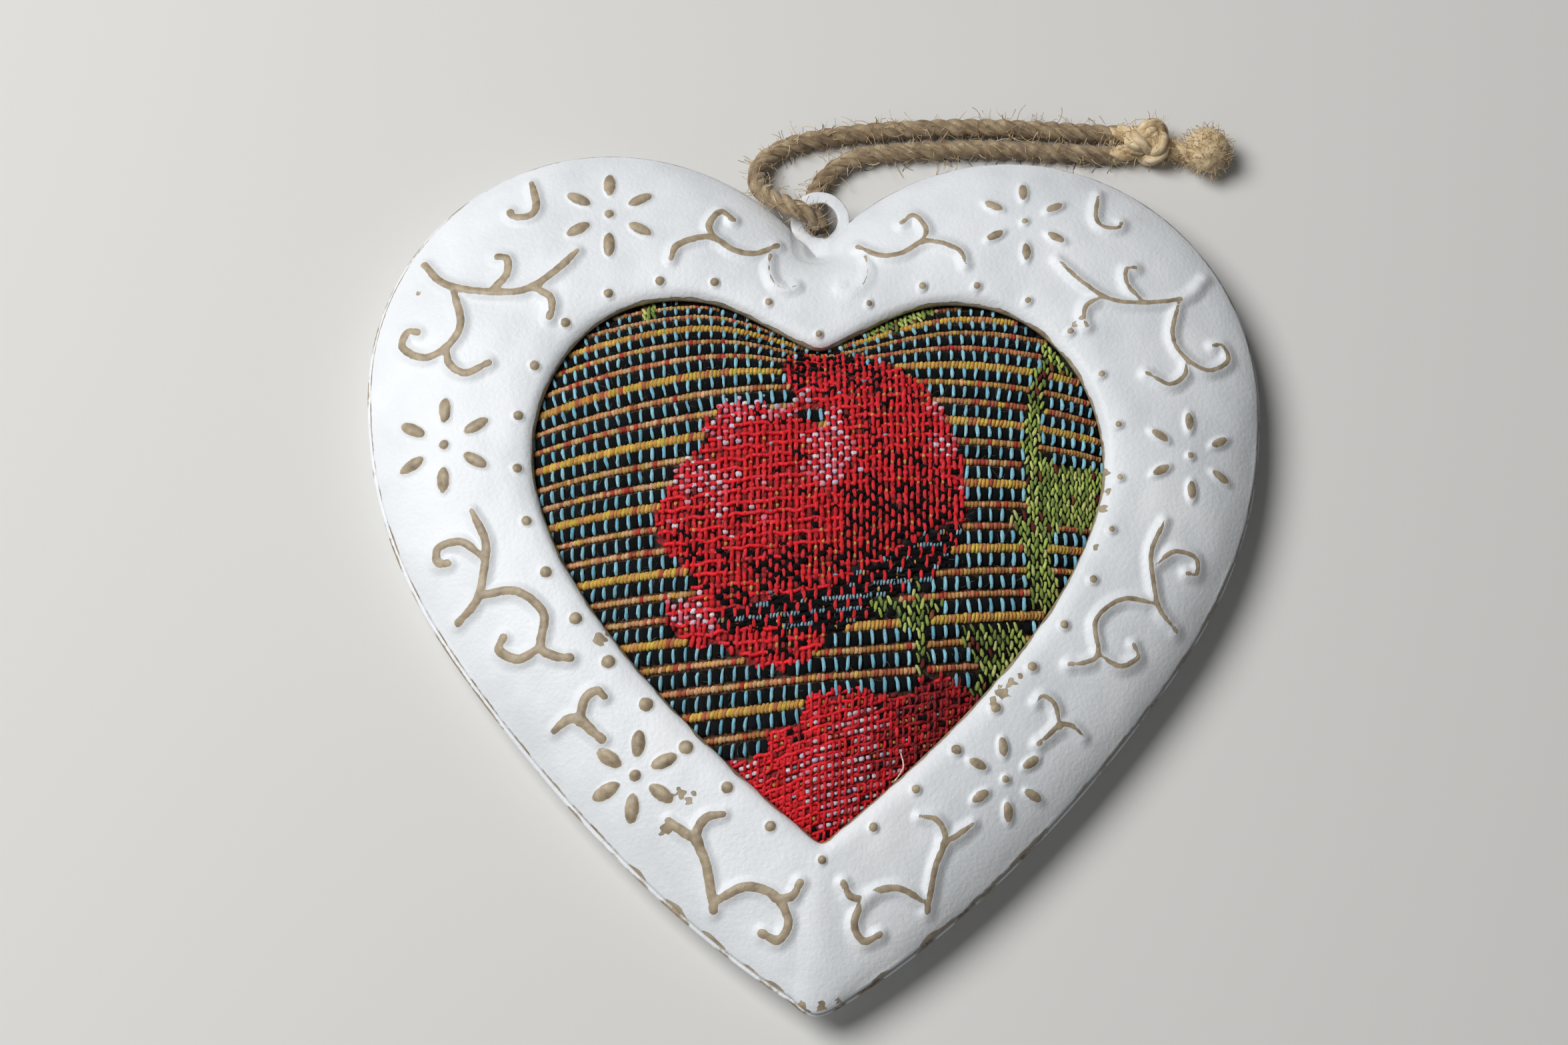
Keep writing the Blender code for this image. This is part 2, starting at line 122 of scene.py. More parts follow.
def softNoise(x, y, size, seed):
    # smooth unevenness between about -1 and 1, with waves of the given size in mm
    if (size, seed) not in noiseWaves:
        draws = np.random.RandomState(seed).uniform(0, 1, (7, 3))
        wave = math.tau / (size * (0.7 + 0.8 * draws[:, 2]))
        turn = draws[:, 0] * math.tau
        noiseWaves[size, seed] = (np.cos(turn) * wave, np.sin(turn) * wave, draws[:, 1] * math.tau)
    total = np.zeros(np.shape(x))
    for alongX, alongY, phase in zip(*noiseWaves[size, seed]):
        total = total + np.sin(x * alongX + y * alongY + phase)
    return total / 3.5


def ringFaces(rowCount, around, closedRows=False):
    # quads between neighbouring rings of points
    here = np.arange(rowCount * around).reshape(rowCount, around)
    above = np.roll(here, -1, 0)
    faces = np.stack([here, np.roll(here, -1, 1), np.roll(above, -1, 1), above], -1)
    return faces[:rowCount if closedRows else -1].reshape(-1, 4).tolist()


def addObject(name, data):
    thing = bpy.data.objects.new(name, data)
    bpy.context.scene.collection.objects.link(thing)
    return thing


def newMesh(name, points, faces, edges=(), attributes=None):
    # points are in heart mm, attributes are one value, vector or colour for each point
    mesh = bpy.data.meshes.new(name)
    mesh.from_pydata(toMetres(points).tolist(), list(edges), faces)
    if faces:
        body = bmesh.new()
        body.from_mesh(mesh)
        bmesh.ops.recalc_face_normals(body, faces=body.faces)
        body.to_mesh(mesh)
        body.free()
    kinds = {1: ("FLOAT", "value"), 3: ("FLOAT_VECTOR", "vector"), 4: ("FLOAT_COLOR", "color")}
    for key, values in (attributes or {}).items():
        values = np.asarray(values, float)
        kind, field = kinds[values.size // len(values)]
        mesh.attributes.new(key, kind, "POINT").data.foreach_set(field, values.ravel())
    return addObject(name, mesh)


def dress(thing, surface, slot, *nodes):
    # the last steps for every piece: finish, body and the CAD nodes that it stands for
    thing.data.materials.clear()
    thing.data.materials.append(surface)
    if thing.type == "MESH":
        thing.data.shade_smooth()
    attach(thing, "root")
    if nodes:
        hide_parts(*nodes)
    return thing


def addNode(tree, kind, *inputs, stops=(), **settings):
    # inputs come in the order of the sockets, or by name in a dictionary; stops are a ramp's colours
    names = (prefix + kind for prefix in ("ShaderNode", "GeometryNode", "FunctionNode", ""))
    made = tree.nodes.new(next(name for name in names if hasattr(bpy.types, name)))
    for key, value in settings.items():
        setattr(made, key, value)
    for index, value in enumerate(inputs):
        plug(made, value if isinstance(value, dict) else {index: value})
    for index, (position, colour) in enumerate(stops):
        elements = made.color_ramp.elements
        element = elements[index] if index < 2 else elements.new(position)
        element.position, element.color = position, linear(colour)
    return made


def linear(hexColour):
    # an sRGB hex colour as linear red, green, blue and alpha
    parts = [int(hexColour[i:i + 2], 16) / 255 for i in (1, 3, 5)]
    return [part / 12.92 if part <= 0.04045 else ((part + 0.055) / 1.055) ** 2.4 for part in parts] + [1.0]


def plug(node, inputs):
    # fills sockets by name or number with a value, a socket or another node's first output
    for key, value in inputs.items():
        if isinstance(value, bpy.types.Node):
            value = value.outputs[0]
        if isinstance(value, bpy.types.NodeSocket):
            node.id_data.links.new(value, node.inputs[key])
        else:
            node.inputs[key].default_value = value


def newSurface(name):
    # a material with a Principled shader; gives it and what adds nodes to it
    surface = bpy.data.materials.new(name)
    surface.use_nodes = True
    return surface, partial(addNode, surface.node_tree)


def coat(surface, inputs):
    plug(surface.node_tree.nodes["Principled BSDF"], inputs)
    return surface


def newNodes(name, inputs):
    # a Geometry Nodes tree with named inputs; gives what adds nodes to it and its input sockets
    tree = bpy.data.node_groups.new(name, "GeometryNodeTree")
    for key, kind in inputs.items():
        tree.interface.new_socket(key, in_out="INPUT", socket_type="NodeSocket" + kind)
    tree.interface.new_socket("Mesh", in_out="OUTPUT", socket_type="NodeSocketGeometry")
    add = partial(addNode, tree)
    return add, add("NodeGroupInput").outputs


def closeNodes(add, geometry, surface):
    # every tree ends in Realize Instances and Set Material
    whole = add("RealizeInstances", geometry)
    painted = add("SetMaterial", {"Geometry": whole, "Material": surface})
    return add("NodeGroupOutput", painted).id_data


def grow(name, source, tree, values):
    # runs the tree on the source and keeps the result as a plain mesh in its place
    modifier = source.modifiers.new(name, "NODES")
    modifier.node_group = tree
    for item in tree.interface.items_tree:
        if item.in_out == "INPUT" and item.name in values:
            modifier[item.identifier] = values[item.name]
    depsgraph = bpy.context.evaluated_depsgraph_get()
    mesh = bpy.data.meshes.new_from_object(
        source.evaluated_get(depsgraph), preserve_all_data_layers=True, depsgraph=depsgraph)
    mesh.name = name
    bpy.data.objects.remove(source)
    return addObject(name, mesh)


# Camera, at the photograph's angle

cameraPlace = {
    "lens": 90.0, "tilt": math.radians(18.5), "swing": 0.053976, "roll": -0.0027992,
    "distance": 433.92, "aim": (-3.6435, -12.944, 0.0),
}


def placeCamera():
    tilt, swing = cameraPlace["tilt"], cameraPlace["swing"]
    back = Vector((-math.sin(swing) * math.cos(tilt), -math.sin(tilt), math.cos(swing) * math.cos(tilt)))
    right = Vector((0, 1, 0)).cross(back).normalized()
    roll = Matrix.Rotation(cameraPlace["roll"], 3, "Z")
    turn = Matrix((right, back.cross(right), back)).transposed() @ roll
    lens = bpy.data.cameras.new("camera")
    lens.lens, lens.clip_start = cameraPlace["lens"], 0.01
    thing = addObject("camera", lens)
    aim = Vector(toMetres([cameraPlace["aim"]])[0])
    thing.matrix_world = Matrix.Translation(aim + back * cameraPlace["distance"] * mm) @ turn.to_4x4()
    bpy.context.scene.camera = thing


placeCamera()
print("camera placed")


# Jute twine: two strands from the eye to the knot, a knot and a frayed tuft

lying = -3.8
twine = {
    "radius": 1.15, "plies": 3, "plyRadius": 0.56, "layRadius": 0.56, "twistLength": 5.6,
    "spacing": 0.3, "fibreDensity": 1.0e6, "fibreLength": 1.7, "fibreThickness": 0.035, "fibreLean": 1.1,
    # waves of the colour in a millimetre: along a ply, in the mottling and from fibre to fibre
    "streaksAlong": 0.9, "mottling": 0.7, "fibreShades": 0.9,
    "streaksAround": 9.0, "relief": 0.25,
    "stops": ((0.28, "#4A3B28"), (0.42, "#7E6950"), (0.54, "#A08B6C"), (0.7, "#C8B898")),
    "looseStops": ((0.35, "#9A7E5A"), (0.5, "#D0B68C"), (0.65, "#F0E0C0")),
}
strandRoutes = {
    "twine_over": [
        (0.5, 22.4, 1.3), (-0.9, 22.9, 2.6), (-3.0, 23.8, 2.9), (-5.4, 25.7, 1.2), (-6.5, 28.6, -1.8),
        (-6.0, 31.6, -3.5), (-3.8, 33.6, lying), (0.5, 35.1, lying), (8.6, 36.3, lying),
        (20.0, 36.9, lying), (35.4, 36.4, lying),
    ],
    "twine_under": [
        (0.5, 22.6, -0.3), (0.4, 23.6, -1.5), (0.1, 25.6, -2.7), (0.3, 28.2, -3.6), (1.8, 30.6, lying),
        (4.4, 32.5, lying), (8.6, 33.5, lying), (20.0, 34.2, lying), (35.4, 33.7, lying),
    ],
}
knot = {
    "centre": (38.9, 35.1, -2.55), "size": (6.2, 5.6, 4.6), "ropeRadius": 1.15, "turn": 25, "leadRadius": 1.1,
    "leads": (((34.6, 36.4, lying), (36.2, 36.3, -3.3), (38.0, 35.9, -2.6)),
              ((34.6, 33.75, lying), (36.2, 33.9, -3.3), (38.0, 34.4, -2.6))),
    "stops": ((0.28, "#8A6E4C"), (0.42, "#C0A47A"), (0.54, "#DEC8A0"), (0.7, "#F2E6CA")),
}
tuft = {
    "neck": ((40.5, 34.7, -3.3), (42.4, 34.3, -3.3), (44.2, 34.1, -3.2)), "neckRadius": 1.25,
    "centre": (45.6, 34.0, -2.3), "coreSize": (4.9, 4.9, 4.4), "hairDensity": 7.0e6, "hairLength": 0.95,
}
# one loose fibre of length 1, and the range of its size
fibre = {
    "root": (0, 0, -0.1), "middle": (0.12, 0.0, 0.55), "tip": (0.62, 0.1, 0.8),
    "shortest": 0.35, "longest": 1.25, "lowest": 0.05,
}


def fibreMaterial(name, shades, stops):
    # every fibre has its own shade
    surface, add = newSurface(name)
    shade = add("TexNoise", {"Vector": add("TexCoord").outputs["Object"], "Scale": shades / mm})
    return coat(surface, {"Base Color": add("ValToRGB", shade, stops=stops), "Roughness": 0.6, "IOR": 1.5})


def juteMaterial(name, stops):
    # Jute yarn, spun and plied: dull straw brown with darker and paler fibre streaks along the twist
    surface, add = newSurface(name)
    along, around = (add("Attribute", attribute_name=key).outputs["Fac"] for key in ("alongPly", "aroundPly"))
    streaks = add("TexNoise", {
        "Vector": add("CombineXYZ", along, around), "Scale": 1.0, "Detail": 4.0, "Roughness": 0.7})
    mottle = add("TexNoise", {
        "Vector": add("TexCoord").outputs["Object"], "Scale": twine["mottling"] / mm, "Detail": 3.0})
    blend = add("Mix", {"Factor": 0.45, "A": streaks, "B": mottle})
    return coat(surface, {
        "Base Color": add("ValToRGB", blend, stops=stops), "Roughness": 0.85, "IOR": 1.5,
        "Normal": add("Bump", {"Height": blend, "Strength": 0.6, "Distance": twine["relief"] * mm}),
        "Sheen Weight": 0.25, "Sheen Roughness": 0.5})


def pathCurve(name, points, cyclic=False):
    curve = bpy.data.curves.new(name, "CURVE")
    curve.dimensions = "3D"
    spline = curve.splines.new("POLY")
    spline.points.add(len(points) - 1)
    places = np.concatenate([toMetres(points), np.ones((len(points), 1))], 1)
    spline.points.foreach_set("co", places.ravel())
    spline.use_cyclic_u = cyclic
    return addObject(name, curve)


def pliedYarnNodes():
    # winds several plies round a path and sweeps a circle along each one
    add, given = newNodes("plied yarn", {
        "Path": "Geometry", "Plies": "Int", "Ply radius": "Float", "Lay radius": "Float",
        "Twist length": "Float", "Ply sides": "Int", "Material": "Material"})
    copies = add("DuplicateElements", {
        "Geometry": given["Path"], "Amount": given["Plies"]}, domain="SPLINE").outputs
    spline = add("SplineParameter").outputs
    turns = add("Math", spline["Length"], given["Twist length"], operation="DIVIDE")
    start = add("Math", copies["Duplicate Index"], given["Plies"], operation="DIVIDE")
    whole = add("Math", turns, start, operation="ADD")
    angle = add("Math", whole, math.tau, operation="MULTIPLY")
    normal, tangent = add("InputNormal"), add("InputTangent")
    side = add("VectorMath", tangent, normal, operation="CROSS_PRODUCT")
    parts = []
    for function, direction in (("COSINE", normal), ("SINE", side)):
        amount = add("Math", angle, operation=function)
        size = add("Math", amount, given["Lay radius"], operation="MULTIPLY")
        parts.append(add("VectorMath", direction, {"Scale": size}, operation="SCALE"))
    offset = add("VectorMath", *parts, operation="ADD")
    circle = add("CurvePrimitiveCircle", {"Resolution": given["Ply sides"], "Radius": given["Ply radius"]})
    marked = []
    for geometry, name, along, scale in (
            (copies["Geometry"], "alongPly", spline["Length"], twine["streaksAlong"] / mm),
            (circle, "aroundPly", spline["Factor"], twine["streaksAround"])):
        marked.append(add("StoreNamedAttribute", {
            "Geometry": geometry, "Name": name, "Value": add("Math", along, scale, operation="MULTIPLY")},
            domain="POINT", data_type="FLOAT"))
    wound = add("SetPosition", {"Geometry": marked[0], "Offset": offset})
    swept = add("CurveToMesh", {"Curve": wound, "Profile Curve": marked[1], "Fill Caps": True})
    return closeNodes(add, swept, given["Material"])


def fibreNodes():
    # bent loose fibres standing on a surface at random
    add, given = newNodes("loose fibres", {
        "Surface": "Geometry", "Density": "Float", "Length": "Float", "Thickness": "Float",
        "Lean": "Float", "Seed": "Int", "Material": "Material"})
    spots = add("DistributePointsOnFaces", {
        "Mesh": given["Surface"], "Density": given["Density"], "Seed": given["Seed"]}).outputs
    line = add("CurveQuadraticBezier", {
        "Resolution": 5, "Start": fibre["root"], "Middle": fibre["middle"], "End": fibre["tip"]})
    grown = add("Transform", {"Geometry": line, "Scale": add("CombineXYZ", *[given["Length"]] * 3)})
    profile = add("CurvePrimitiveCircle", {"Resolution": 3, "Radius": given["Thickness"]})
    hair = add("CurveToMesh", {"Curve": grown, "Profile Curve": profile, "Fill Caps": True})
    lean = given["Lean"]
    lower = add("Math", lean, -1.0, operation="MULTIPLY")
    limits = add("CombineXYZ", lower, lower), add("CombineXYZ", lean, lean, math.tau)
    bend = add("RandomValue", *limits, {"Seed": given["Seed"]}, data_type="FLOAT_VECTOR")
    aimed = add("RotateRotation", {
        "Rotation": spots["Rotation"], "Rotate By": add("EulerToRotation", bend)}, rotation_space="LOCAL")
    size = add("RandomValue", {
        2: fibre["shortest"], 3: fibre["longest"], "Seed": given["Seed"]}, data_type="FLOAT").outputs[1]
    placed = add("InstanceOnPoints", {
        "Points": spots["Points"], "Instance": hair, "Rotation": aimed, "Scale": size})
    # a fibre that reaches the table lies on it
    whole = add("RealizeInstances", placed)
    parts = add("SeparateXYZ", add("InputPosition")).outputs
    level = add("Math", parts["Z"], fibre["lowest"] * mm, operation="MAXIMUM")
    laid = add("SetPosition", {
        "Geometry": whole, "Position": add("CombineXYZ", parts["X"], parts["Y"], level)})
    return closeNodes(add, laid, given["Material"])


def spinTwine(name, points, tree, surface, ropeRadius, cyclic=False):
    scale = ropeRadius / twine["radius"]
    return grow(name, pathCurve(name + "_path", points, cyclic), tree, {
        "Plies": twine["plies"], "Ply radius": twine["plyRadius"] * scale * mm,
        "Lay radius": twine["layRadius"] * scale * mm, "Twist length": twine["twistLength"] * mm,
        "Ply sides": 10, "Material": surface})


def joined(name, things):
    # one mesh out of several objects
    whole = bmesh.new()
    for thing in things:
        whole.from_mesh(thing.data)
    mesh = bpy.data.meshes.new(name)
    whole.to_mesh(mesh)
    whole.free()
    for thing in things:
        bpy.data.objects.remove(thing)
    return addObject(name, mesh)


def trefoil(centre, size, ropeRadius, turn):
    # the line of a tight overhand knot, fitted into the given size
    t = np.linspace(0, math.tau, 90, endpoint=False)
    x = np.sin(t) + 2 * np.sin(2 * t)
    y = np.cos(t) - 2 * np.cos(2 * t)
    z = -np.sin(3 * t)
    angle = math.radians(turn)
    x, y = x * math.cos(angle) - y * math.sin(angle), x * math.sin(angle) + y * math.cos(angle)
    line = np.stack([x / np.abs(x).max(), y / np.abs(y).max(), z], 1)
    return line * (np.array(size) / 2 - ropeRadius) + centre


def lumpyBall(name, centre, size, rings=20, around=28):
    heights = np.linspace(0.04, math.pi - 0.04, rings)
    angles = np.linspace(0, math.tau, around, endpoint=False)
    polar, turn = np.meshgrid(heights, angles, indexing="ij")
    lump = 1 + 0.10 * np.sin(5 * turn + 3 * polar) + 0.06 * np.sin(9 * turn - 7 * polar)
    shape = np.stack([np.cos(polar), np.sin(polar) * np.cos(turn), np.sin(polar) * np.sin(turn)], -1)
    points = (shape * lump[..., None] * np.array(size) / 2 + centre).reshape(-1, 3)
    faces = ringFaces(rings, around)
    faces += [list(range(around)), list(range((rings - 1) * around, rings * around))]
    return newMesh(name, points, faces)


def makeTwine():
    yarn, fibres = pliedYarnNodes(), fibreNodes()
    jute = juteMaterial("plied jute twine", twine["stops"])
    openJute = juteMaterial("opened jute yarn of the knotted end", knot["stops"])
    # Loose jute fibres: paler and a little glossy
    loose = fibreMaterial("loose jute fibre", twine["fibreShades"], twine["looseStops"])
    strands, spacing = {}, twine["spacing"]
    for name, route in strandRoutes.items():
        points = smoothPath(route, spacing)
        strand = spinTwine(name, points, yarn, jute, twine["radius"])
        strands[name] = (dress(strand, jute, name, name), points)
    wraps = trefoil(knot["centre"], knot["size"], knot["ropeRadius"], knot["turn"])
    parts = [spinTwine("knot_wraps", wraps, yarn, openJute, knot["ropeRadius"], cyclic=True)]
    for lead in knot["leads"]:
        parts.append(spinTwine("knot_lead", smoothPath(lead, spacing), yarn, openJute, knot["leadRadius"]))
    knotPiece = dress(joined("twine_knot_wraps", parts), openJute, "twine_knot", "twine_knot")
    neck = spinTwine("tuft_neck", smoothPath(tuft["neck"], spacing), yarn, openJute, tuft["neckRadius"])
    core = lumpyBall("tuft_core", tuft["centre"], tuft["coreSize"])
    tuftPiece = dress(joined("twine_tuft_end", [neck, core]), openJute, "twine_tuft", "twine_tuft")
    hairs = []
    for seed, source, density, length in (
            (11, strands["twine_over"][0], twine["fibreDensity"], twine["fibreLength"]),
            (12, strands["twine_under"][0], twine["fibreDensity"], twine["fibreLength"]),
            (13, knotPiece, twine["fibreDensity"] * 0.8, twine["fibreLength"] * 0.8),
            (14, tuftPiece, tuft["hairDensity"], tuft["hairLength"])):
        hairs.append(grow("fuzz", addObject("fuzz_source", source.data.copy()), fibres, {
            "Density": density, "Length": length * mm, "Thickness": twine["fibreThickness"] * mm,
            "Lean": twine["fibreLean"], "Seed": seed, "Material": loose}))
    tuftHair = hairs.pop()
    tuftHair.name = "twine_tuft_fray"
    dress(tuftHair, loose, "twine_tuft")
    fuzz = dress(joined("twine_fuzz", hairs), loose, "twine_over")
    for name, (strand, points) in strands.items():
        route = toMetres(points)


makeTwine()
print("twine spun")


# Outlines of the heart, as on the CAD part

heartPlan = {
    "lobe": (22.9, 2.0), "lobeRise": 28.8, "lobeToSide": 27.1, "lobeToCleft": 28.2,
    "flank": ((50.0, 2.0), (50.0, -14.0), (43.8, -24.3), (36.5, -34.0)),
    "tip": ((36.5, -34.0), (31.9, -40.2), (17.7, -58.5), (0.0, -68.6)),
    "windowCleft": ((0.0, 5.5), (6.4, 8.1), (9.1, 11.4), (15.4, 11.4)),
    "windowLobe": ((15.4, 11.4), (25.7, 11.4), (31.4, 1.9), (31.4, -6.9)),
    "windowFlank": ((31.4, -6.9), (31.4, -20.3), (16.2, -37.3), (0.0, -50.6)),
    "steps": (8, 10, 18),
}


def roundedCorner(points, corner, reach, push, passes):
    # the pressed sheet turns a rounded corner; the push keeps its end where it was
    soft = points.copy()
    near = np.hypot(*(points - points[corner]).T) < reach
    soft[near] += np.array(push) * smoothStep(1 - np.abs(points[near, :1]) / reach)
    for _ in range(passes):
        soft[near] = ((np.roll(soft, 1, 0) + np.roll(soft, -1, 0)) / 2)[near]
    return soft


def fullLoop(sections, fineness):
    # the right half from the cleft to the tip, then its mirror image back up
    half = [evenPoints(line, count * fineness) for line, count in zip(sections, heartPlan["steps"])]
    half = np.concatenate(half + [sections[-1][-1:]])
    half[0, 0] = 0.0
    return np.concatenate([half, half[-2:0:-1] * (-1, 1)])


def outerOutline(fineness, rounded=True):
    lobe = heartPlan["lobe"]
    cleftAngle = math.acos(-lobe[0] / heartPlan["lobeToCleft"])
    inner = arcLine(lobe, (heartPlan["lobeToCleft"], heartPlan["lobeRise"]), cleftAngle, math.pi / 2)
    outer = arcLine(lobe, (heartPlan["lobeToSide"], heartPlan["lobeRise"]), math.pi / 2, 0.0)
    flank = np.concatenate([bezierLine(*heartPlan["flank"])[:-1], bezierLine(*heartPlan["tip"])])
    loop = fullLoop((inner, outer, flank), fineness)
    tip = int(np.argmin(loop[:, 1]))
    return roundedCorner(loop, tip, 3.4, (-0.8, -1.3), 3 * fineness) if rounded else loop


def windowOutline(fineness, rounded=True):
    sections = [bezierLine(*heartPlan[key]) for key in ("windowCleft", "windowLobe", "windowFlank")]
    loop = fullLoop(sections, fineness)
    if not rounded:
        return loop
    loop = roundedCorner(loop, 0, 3.6, (0.0, -0.25), 5 * fineness)
    return roundedCorner(loop, int(np.argmin(loop[:, 1])), 1.6, (0.0, -0.2), fineness)


# Raised work of the pressed front: scrolls, dots and flowers

raisedWork = {
    "scrollHalfWidth": 0.36, "scrollHeight": 0.58, "scrollSlope": 0.95, "blend": 0.12, "endKnob": 0.36,
    # a scroll's width at its ends and its growth from there, as shares, and how far it grows in mm
    "narrow": 0.62, "growth": 0.42, "taper": 1.8,
    # how far around a scroll its height is worked out
    "reach": 2.2,
    "smallDotRadius": 0.42, "dotHeight": 0.52, "dotSlope": 0.3,
    # how far down the heart, and the dots' radius there
    "dotRadii": ((15, 0.5), (33, 0.66), (41, 0.66), (46, 0.5)),
    "petals": 6, "flowerEye": 0.5,
    # where the pressing is faint: centre x and y, radius, and what is missing of it left and right
    "faint": (3.8, 14.0, 2.8, 0.1, 0.6),
    "stems": (
        ((16.5, 15.8), (15.6, 17.7), (12.1, 18.8), (9.5, 17.3), (7.0, 17.0), (4.5, 18.4)),
        ((26.9, 16.8), (29.6, 14.0), (33.0, 11.9), (38.0, 12.1), (41.8, 13.4), (44.0, 16.1)),
        ((32.2, 26.2), (31.6, 22.8), (32.4, 21.5), (34.2, 21.5), (34.5, 22.2)),
        ((38.0, -13.9), (36.4, -17.5), (36.6, -21.2), (37.3, -23.9), (39.2, -25.9)),
        ((28.6, -38.1), (27.2, -37.1), (25.9, -37.2), (24.6, -38.4), (23.5, -39.4)),
        ((10.5, -47.7), (12.4, -48.1), (13.3, -50.0), (12.2, -53.0), (11.4, -57.5)),
    ),
    "branches": (
        ((11.6, 18.6), (12.2, 20.4), (10.9, 22.4), (9.5, 21.4)),
        ((32.0, 12.3), (30.0, 11.2), (29.6, 9.7), (29.9, 8.6)),
        ((36.6, 11.9), (34.8, 13.9), (34.7, 16.0), (35.8, 16.3)),
        ((37.0, -18.9), (39.0, -17.3), (41.5, -17.7), (41.6, -19.4), (40.5, -19.5)),
        ((23.3, -34.9), (24.1, -34.2), (25.4, -35.1), (25.9, -37.4)),
        ((16.3, -48.2), (14.9, -49.3), (13.1, -50.5)),
        ((5.3, 16.9), (5.5, 14.9), (4.9, 13.2), (3.6, 12.5), (2.5, 12.9)),
        ((40.7, 12.6), (39.7, 8.2), (41.0, 5.6), (43.6, 4.3), (46.1, 5.8), (45.6, 7.7), (44.5, 7.5)),
        ((37.0, -23.3), (33.0, -23.1), (30.0, -25.6), (30.2, -29.2), (28.8, -30.3), (27.0, -30.6)),
        ((11.3, -56.7), (8.0, -55.3), (5.0, -56.3), (3.5, -58.9), (4.5, -60.8), (6.3, -60.1)),
        ((41.2, 5.2), (40.8, 3.3), (39.0, 2.1), (36.5, 3.2)),
        ((30.2, -29.3), (32.6, -30.4), (34.7, -29.3), (34.3, -28.0)),
        ((5.0, -56.6), (3.2, -56.4), (2.3, -55.0)),
    ),
    "smallDots": ((0.0, 7.2), (0.0, -52.6), (5.6, 10.9)),
    "dots": (
        (11.6, 13.1), (17.7, 13.2), (23.4, 11.6), (28.1, 8.0), (31.4, 2.9), (33.1, -3.0),
        (33.1, -9.1), (32.0, -15.2), (29.8, -21.0), (26.5, -26.2), (22.9, -31.0), (18.8, -35.7),
        (14.5, -40.4), (10.1, -44.8), (5.5, -49.0),
    ),
    # centre x and y, petal distance, length and width, turn in degrees
    "flowers": (
        (23.4, 21.7, 4.0, 2.7, 1.2, 0.0), (41.2, -6.1, 4.0, 2.7, 1.2, 0.0), (19.9, -43.3, 3.4, 2.4, 1.2, 5.0),
    ),
}
wear = {
    "leftRub": 0.07, "rightRub": -0.12, "lowerRub": 0.12, "windowEdge": 0.2, "rimEdge": 0.05,
    # height below which each of these grows, and how far below that it is whole
    "lowerGrowth": (-10.0, -40.0), "windowGrowth": (-5.0, -30.0), "rimGrowth": (-45.0, -20.0),
    "lipGrowth": (-30.0, -30.0),
    # places where the paint on the raised work is whole or nearly so: x, y, radius, how much narrower
    "whole": (
        (4.0, 14.0, 2.5, 0.27), (-4.0, 14.0, 2.5, 0.28), (43.9, 15.0, 3.0, 3.0), (5.4, -57.0, 0.8, 3.0),
    ),
    # chips through to the primer: x, y, radius
    "chips": (
        (-23.8, -28.4, 0.75), (-22.9, -27.6, 0.35), (-15.0, -45.3, 0.5), (-14.2, -46.1, 0.4),
        (-16.6, -49.0, 0.6), (-13.6, -45.4, 0.3), (28.6, 8.9, 0.3), (29.2, 9.5, 0.22),
        (19.6, -33.9, 0.7), (20.6, -32.8, 0.5), (18.6, -34.8, 0.45), (21.6, -31.9, 0.3),
        (31.6, -8.4, 0.4), (31.7, -10.6, 0.35), (31.2, -12.6, 0.45), (30.2, -17.2, 0.3),
        (-44.6, 12.6, 0.28), (-33.4, 21.4, 0.2), (0.2, -67.4, 0.5), (-1.9, -67.3, 0.4),
        (1.9, -66.7, 0.3), (-27.2, -47.8, 0.3),
    ),
}


# how far in mm a place lies inside raised work that it is nowhere near
outside = -9.0


def strokeInside(x, y, corners):
    # how far inside a scroll line each place is, in mm; the line narrows to its ends
    path = smoothPath(corners, 0.18)
    along = lengthAlong(path)
    toEnd = np.minimum(along, along[-1] - along)
    work, reach = raisedWork, raisedWork["reach"]
    half = work["scrollHalfWidth"] * (work["narrow"] + work["growth"] * smoothStep(toEnd, 0, work["taper"]))
    half[-3:] = work["endKnob"]
    inside = np.full(x.shape, outside)
    low, high = path.min(axis=0) - reach, path.max(axis=0) + reach
    near = (x > low[0]) & (x < high[0]) & (y > low[1]) & (y < high[1])
    if near.any():
        away = np.hypot(x[near][:, None] - path[:, 0], y[near][:, None] - path[:, 1])
        inside[near] = (half - away).max(axis=1)
    return inside


def ovalInside(x, y, centre, length, width, turn):
    along = (x - centre[0]) * math.cos(turn) + (y - centre[1]) * math.sin(turn)
    beside = (y - centre[1]) * math.cos(turn) - (x - centre[0]) * math.sin(turn)
    return (1 - np.hypot(along / (length / 2), beside / (width / 2))) * width / 2


def cappedFaces(rowCount, around, firstMiddle, lastMiddle):
    # neighbouring rings, closed at both ends by triangles to a middle point
    last = (rowCount - 1) * around
    faces = ringFaces(rowCount, around)
    faces += [[(i + 1) % around, i, firstMiddle] for i in range(around)]
    return faces + [[last + i, last + (i + 1) % around, lastMiddle] for i in range(around)]


